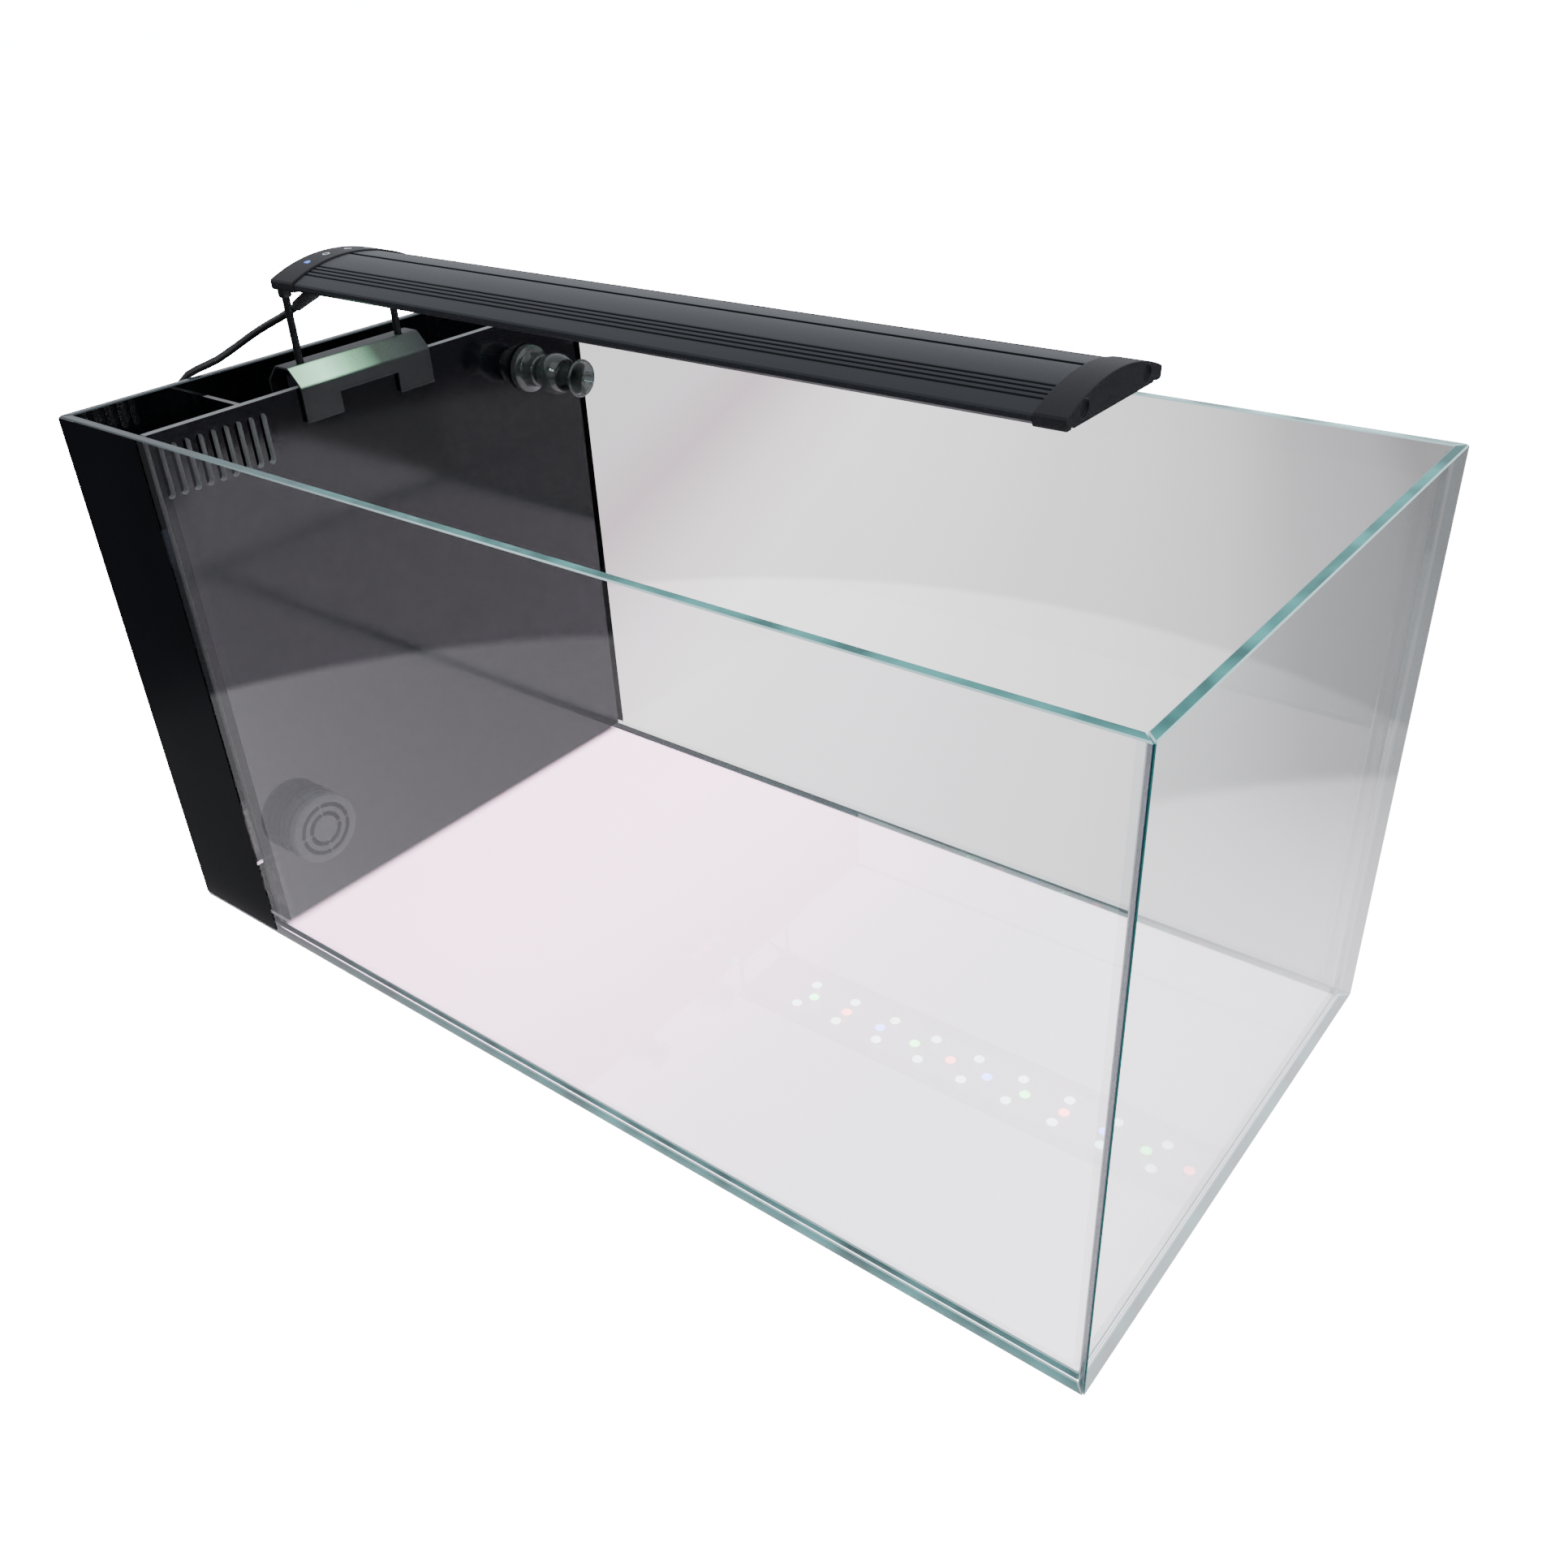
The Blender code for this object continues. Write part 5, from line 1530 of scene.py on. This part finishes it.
            self.tank.finish(rod, Body.LIGHT, node)
            boss = Meshes.turned(node + "_socket", [
                (radius + 0.0001, cap[0].z - self.z), (radius + 0.0001, -0.0036),
                (radius + 0.0005, -0.0040), (0.0029, -0.0040), (0.0033, -0.0034),
                (0.0034, 0.0004), (radius + 0.0001, 0.0004)], (x, y, self.z),
                Vector((0, 0, 1)), self.get("black_plastic"), 32)
            self.tank.finish(boss, Body.LIGHT, slot="black_plastic")

    def _marks(self) -> None:
        """Small lit symbols on the touch strip: plain shapes, no words."""
        low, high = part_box("touch_keys")
        x = (low.x + high.x) / 2
        blue, white = (0.10, 0.25, 1.0), (0.8, 0.85, 1.0)
        for index, (share, tone) in enumerate(((-0.78, blue), (-0.28, white), (0.28, white),
                                               (0.78, white))):
            y = self.y + share * (high.y - low.y) / 2
            level = self.z + self._crown(y - self.y, self.half - 0.0006, self.edge, self.crown)
            outer, inner = 0.0019, 0.0014
            profile = [(inner, 0.0), (outer, 0.0), (outer, 0.00006), (inner, 0.00006)]
            if index == 0:
                profile = [(0.0, 0.0), (outer, 0.0), (outer, 0.00006), (0.0, 0.00006)]
            mark = Meshes.turned(f"touch_mark_{index + 1}", profile,
                                 (x, y, level - 0.00004), Vector((0, (y - self.y) * 0.25, 0.02)),
                                 self.tank.materials.glow(f"touch_glow_{index + 1}", tone, 0.9),
                                 28)
            self.tank.finish(mark, Body.LIGHT, slot="blue_white_acrylic")

    def _chips(self) -> None:
        """Three rows of lit chips under the board."""
        low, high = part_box("led_board")
        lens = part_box("led_lens")[1].z
        bottom = low.z
        rows: dict[str, tuple[list[Pair], Colour]] = {}
        rows["white"] = ([(-0.190 + self.pitch_white * k, side * 0.015)
                          for k in range(10) for side in (-1, 1)], (0.72, 1.0, 0.86))
        for index, name in enumerate(("green", "red", "blue")):
            rows[name] = ([(-0.182 + self.pitch_tones * k, 0.0)
                           for k in range(index, 11, 3)], self.tones[index])
        for name, (places, tone) in rows.items():
            bm = bmesh.new()
            for x, y in places:
                if not low.x + 0.003 < x < high.x - 0.003:
                    continue
                made = bmesh.ops.create_cone(bm, cap_ends=True, segments=20, radius1=0.0040,
                                             radius2=0.0046, depth=bottom - lens - 0.0002)
                bmesh.ops.translate(bm, vec=(x, self.y + y, (bottom + lens) / 2),
                                    verts=made["verts"])
            # Painted reflection: the chips shine far brighter where the panes mirror them.
            material = self.tank.materials.glow("chip_" + name, tone, 3.0, 220.0)
            self.tank.finish(Meshes.place("led_chips_" + name, bm, material, 30), Body.LIGHT,
                             slot="white_board")


@dataclass
class FittingBuilder:
    """Return nozzle, strainer and bracket in fine mesh.

    Attributes:
        tank: The aquarium.
        sheet: Thickness of the bracket's sheet.
        fold: Length of each rounded fold, from its corner.
        slope_foot: Height where the bracket's slopes start.
        ridge: Where its flat top starts and ends, along X.
    """

    tank: Aquarium
    sheet: float = 0.0012
    fold: float = 0.0016
    slope_foot: float = 0.3007
    ridge: Pair = (-0.2340, -0.2455)

    def __post_init__(self) -> None:
        """Keep the way to a material."""
        self.get = self.tank.materials.get

    def build(self) -> None:
        """Make the fittings."""
        self._nozzle()
        self._strainer()
        self._bracket()

    def _nozzle(self) -> None:
        """Threaded socket, ball link and flared tip."""
        x_axis = Vector((1, 0, 0))
        low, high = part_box("return_flange")
        y, z = (low.y + high.y) / 2, (low.z + high.z) / 2
        radius = (high.y - low.y) / 2
        tail = low.x
        wall = high.x - 0.0145
        centre = 0.0050 + 0.0055
        ring = [(0.0078, centre + 0.0040), (0.0090, centre + 0.0036), (0.0095, centre + 0.0030),
                (0.0100, 0.0068), (0.0108, 0.0056), (radius - 0.0010, 0.0050),
                (radius - 0.0003, 0.0047), (radius, 0.0040), (radius, 0.0008),
                (radius - 0.0008, 0), (0.0085, 0)]
        thread = []
        for k in range(12):
            at = -0.0055 - k * 0.0007
            if wall + at - 0.0004 > tail:
                thread += [(0.0085, at), (0.0080, at - 0.00035)]
        inner = [(0.0080, tail - wall), (0.0060, tail - wall), (0.0060, centre - 0.0045)]
        inner += ball_arc(0.0073, centre, 128, 58, 14)
        flange = Meshes.turned("return_socket", ring + thread + inner, (wall, y, z), x_axis,
                               self.get("smoke_plastic"), 72)
        self.tank.finish(flange, Body.TANK, "return_flange")
        ball = wall + centre
        tip = 0.0152
        link = ball_arc(0.0120, tip, 50, 128, 22) + [(0.0052, 0.0070), (0.0042, 0.0064)]
        link += ball_arc(0.0070, 0, 40, 150, 18)
        link += [(0.0026, link[-1][1]), (0.0026, tip - 0.0082)]
        link += ball_arc(0.0087, tip, 155, 56, 18)
        bulb = Meshes.turned("nozzle_bulb", link, (ball, y, z), x_axis,
                             self.get("smoke_plastic"), 72)
        self.tank.finish(bulb, Body.LINK, "nozzle_link")
        lip = 0.0110
        flare = [(lip - 0.0012, 0.0211), (lip - 0.0006, 0.0210), (lip - 0.0001, 0.0207),
                 (lip, 0.0203), (lip - 0.0003, 0.0197), (0.0095, 0.0180), (0.0083, 0.0160),
                 (0.0073, 0.0143), (0.0066, 0.0128), (0.0062, 0.0115), (0.0060, 0.0104)]
        flare += ball_arc(0.0084, 0, 44, 150, 18)
        flare += [(0.0032, flare[-1][1]), (0.0034, 0.0120), (0.0044, 0.0142), (0.0058, 0.0165),
                  (0.0076, 0.0190), (lip - 0.0020, 0.0206)]
        trumpet = Meshes.turned("nozzle_trumpet", flare, (ball + tip, y, z), x_axis,
                                self.get("smoke_plastic"), 72)
        self.tank.finish(trumpet, Body.TIP, "nozzle_tip")

    def _strainer(self) -> None:
        """Threaded housing, and its cap with two rings of curved slots."""
        x_axis = Vector((1, 0, 0))
        low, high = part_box("strainer_body")
        y, z = (low.y + high.y) / 2, (low.z + high.z) / 2
        radius = (high.y - low.y) / 2
        face = high.x - 0.0090
        waist = radius - 0.0022
        profile = [(waist - 0.0010, 0.0090), (waist - 0.0003, 0.0087), (waist, 0.0080),
                   (waist, 0.0064), (waist + 0.0003, 0.0059), (radius - 0.0003, 0.0051),
                   (radius, 0.0046), (radius, 0.0010), (radius - 0.0003, 0.0003),
                   (radius - 0.0010, 0), (0.0125, 0)]
        for k in range(18):
            at = -0.0065 - k * 0.0009
            if face + at - 0.0005 > low.x:
                profile += [(0.0125, at), (0.0120, at - 0.00045)]
        profile += [(0.0120, low.x - face), (0.0100, low.x - face), (0.0100, 0.0090)]
        body = Meshes.turned("strainer_housing", profile, (face, y, z), x_axis,
                             self.get("black_plastic"), 72)
        self.tank.finish(body, Body.TANK, "strainer_body")
        low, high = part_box("strainer_grille")
        depth = high.x - low.x
        shell = [(0.0, depth), (radius - 0.0012, depth), (radius - 0.0004, depth - 0.0003),
                 (radius, depth - 0.0011), (radius, 0.0008), (radius - 0.0008, 0),
                 (radius - 0.0030, 0), (radius - 0.0030, 0.0022), (0.0, 0.0022)]
        cap = Meshes.turned("strainer_cap_grille", shell, (low.x, y, z), x_axis,
                            self.get("grey_plastic"), 96)
        tools = []
        for mid, width in ((0.0150, 0.0026), (0.0094, 0.0028)):
            half_spoke = 0.0016 / mid
            for quarter in range(4):
                start = quarter * math.pi / 2 + math.radians(2) + half_spoke
                tools.append(self._arc("slot", mid, width, start, math.pi / 2 - 2 * half_spoke,
                                       (y, z), low.x - 0.001, high.x + 0.001))
        Meshes.cut(cap, tools)
        Meshes.soften(cap, 0.00025, 2, 50)
        self.tank.finish(cap, Body.CAP, "strainer_grille")

    def _arc(self, name: str, mid: float, width: float, start: float, sweep: float,
             centre: Pair, low: float, high: float) -> bpy.types.Object:
        """Curved slot cutter with round ends.

        Args:
            name: Its name.
            mid: Radius of its middle line.
            width: Its width.
            start: Its first angle.
            sweep: Its angle.
            centre: Centre, as y and z.
            low: Lowest x.
            high: Highest x.

        Returns:
            The cutter.
        """
        outline: list[Pair] = []
        steps, half = 18, width / 2
        for k in range(steps + 1):
            a = start + sweep * k / steps
            outline.append(((mid + half) * math.cos(a), (mid + half) * math.sin(a)))
        for k in range(1, 8):
            a = start + sweep
            t = math.pi * k / 8
            outline.append((mid * math.cos(a) + half * math.cos(a + t),
                            mid * math.sin(a) + half * math.sin(a + t)))
        for k in range(steps + 1):
            a = start + sweep * (1 - k / steps)
            outline.append(((mid - half) * math.cos(a), (mid - half) * math.sin(a)))
        for k in range(1, 8):
            t = math.pi * k / 8
            outline.append((mid * math.cos(start) + half * math.cos(start + math.pi + t),
                            mid * math.sin(start) + half * math.sin(start + math.pi + t)))
        placed = [(centre[0] + u, centre[1] + v) for u, v in outline]
        return Meshes.extruded(name, placed, Axis.X, low, high, self.get("black_plastic"))

    def _bracket(self) -> None:
        """Folded sheet hood with a notch below, rounded folds and softened edges."""
        low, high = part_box("bracket_plate")
        top, near = high.z, high.x
        line = [(near, low.z), (near, self.slope_foot), (self.ridge[0], top),
                (self.ridge[1], top), (low.x, self.slope_foot), (low.x, low.z)]
        folded: list[Pair] = [line[0]]
        for before, here, after in zip(line, line[1:], line[2:]):
            a, b, c = Vector(before), Vector(here), Vector(after)
            start = b + (a - b).normalized() * self.fold
            end = b + (c - b).normalized() * self.fold
            for k in range(6):
                t = k / 5
                folded.append(tuple((1 - t) ** 2 * start + 2 * t * (1 - t) * b + t * t * end))
        folded.append(line[-1])
        bm = bmesh.new()
        first = [bm.verts.new((x, low.y, z)) for x, z in folded]
        last = [bm.verts.new((x, high.y, z)) for x, z in folded]
        for a, b, c, d in zip(first, first[1:], last[1:], last):
            bm.faces.new((a, d, c, b))
        plate = Meshes.place("bracket_hood", bm, self.get("dark_steel"), 0)
        outward = plate.data.polygons[0].normal.x > 0
        solid = plate.modifiers.new("sheet", "SOLIDIFY")
        solid.thickness = self.sheet
        solid.offset = -1 if outward else 1
        solid.use_even_offset = True
        Meshes.apply(plate)
        y = (low.y + high.y) / 2
        notch = bmesh.new()
        bmesh.ops.create_cube(notch, size=1.0)
        bmesh.ops.scale(notch, vec=(0.006, 0.0395, 0.0224), verts=notch.verts)
        bmesh.ops.translate(notch, vec=(near, y, low.z), verts=notch.verts)
        tools = [Meshes.place("notch", notch, self.get("dark_steel"), 0)]
        for side in (-1, 1):
            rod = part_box("light_rod_front" if side < 0 else "light_rod_rear")
            centre = (rod[0] + rod[1]) / 2
            tools.append(Meshes.turned("hole", [(0.0, -0.004), (0.0023, -0.004), (0.0023, 0.004),
                                                (0.0, 0.004)], (centre.x, centre.y, top),
                                       Vector((0, 0, 1)), self.get("dark_steel"), 24))
            for offset, size in ((side * 0.033, 0.0026), (side * 0.018, 0.0023)):
                tools.append(Meshes.turned("hole", [(0.0, -0.004), (size, -0.004), (size, 0.004),
                                                    (0.0, 0.004)], (low.x, y + offset, 0.293),
                                           Vector((1, 0, 0)), self.get("dark_steel"), 24))
        Meshes.cut(plate, tools)
        Meshes.soften(plate, 0.00018, 2, 50)
        plate.data.materials.clear()
        plate.data.materials.append(self._brushed_with_painted_light())
        self.tank.finish(plate, Body.TANK, "bracket_plate")

    def _brushed_with_painted_light(self) -> bpy.types.Material:
        """Dark brushed sheet with the lamp's mint light painted on its slope as emission, with
        painted glints along the grain.

        Returns:
            The material.
        """
        graph = Graph("bracket_brushed_painted_light")
        place = graph.add("TexCoord")
        stretch = graph.add("VectorMath")
        stretch.operation = "MULTIPLY"
        graph.feed(stretch.inputs[0], place.outputs["Object"])
        graph.feed(stretch.inputs[1], (1.0, 0.25, 1.0))
        fine = graph.add("TexNoise", Vector=stretch.outputs[0], Scale=2600.0, Detail=3.0)
        shape = graph.add("NewGeometry")
        dot = graph.add("VectorMath")
        dot.operation = "DOT_PRODUCT"
        graph.feed(dot.inputs[0], shape.outputs["True Normal"])
        graph.feed(dot.inputs[1], (0.723, 0.0, 0.691))
        lit = graph.add("MapRange", Value=dot.outputs["Value"])
        lit.interpolation_type = "SMOOTHSTEP"
        lit.inputs["From Min"].default_value = 0.80
        lit.inputs["From Max"].default_value = 0.99
        parts = graph.add("SeparateXYZ", Vector=shape.outputs["Position"])
        along = graph.add("MapRange", Value=parts.outputs["Y"])
        along.inputs["From Min"].default_value = -0.056
        along.inputs["From Max"].default_value = 0.032
        # Painted light: a mint glow on the slope, bright at one end along Y and fading to none at
        # the other.
        ramp = graph.add("ValToRGB", Fac=along.outputs[0])
        stops = ramp.color_ramp.elements
        stops[0].position, stops[0].color = 0.0, (0.34, 0.62, 0.42, 1)
        stops[1].position, stops[1].color = 1.0, (0.006, 0.007, 0.008, 1)
        for at, tone in ((0.20, (0.50, 1.00, 0.66, 1)), (0.42, (0.18, 0.40, 0.24, 1)),
                         (0.62, (0.035, 0.05, 0.04, 1))):
            stop = stops.new(at)
            stop.color = tone
        # Painted glints: the glow's strength follows the brushed grain.
        painted_glint_strength = graph.math("ADD", 1.1, graph.math("MULTIPLY", fine.outputs["Fac"], 1.4))
        glow = graph.blend(lit.outputs[0], (0.0, 0.0, 0.0), ramp.outputs[0])
        colour = graph.blend(fine.outputs["Fac"], (0.008, 0.009, 0.011), (0.020, 0.021, 0.024))
        bump = graph.add("Bump", Strength=0.15, Distance=0.0002, Height=fine.outputs["Fac"])
        shader = graph.add("BsdfPrincipled", Base_Color=colour, Metallic=0.30, Roughness=0.45,
                           Normal=bump.outputs[0], Emission_Color=glow,
                           Emission_Strength=painted_glint_strength)
        return graph.surface(shader)


def main() -> None:
    """Build the scene."""
    logging.basicConfig(level=logging.INFO)
    for obj in list(bpy.data.objects):
        bpy.data.objects.remove(obj, do_unlink=True)
    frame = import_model()
    materials = Materials(Effects())
    studio = Studio()
    studio.camera(CameraFit())
    aquarium = Aquarium(frame, materials)
    aquarium.paint()
    CableBuilder(aquarium).build()
    LightBuilder(aquarium).build()
    FittingBuilder(aquarium).build()
    studio.light()
    studio.floor()


if __name__ == "__main__":
    main()
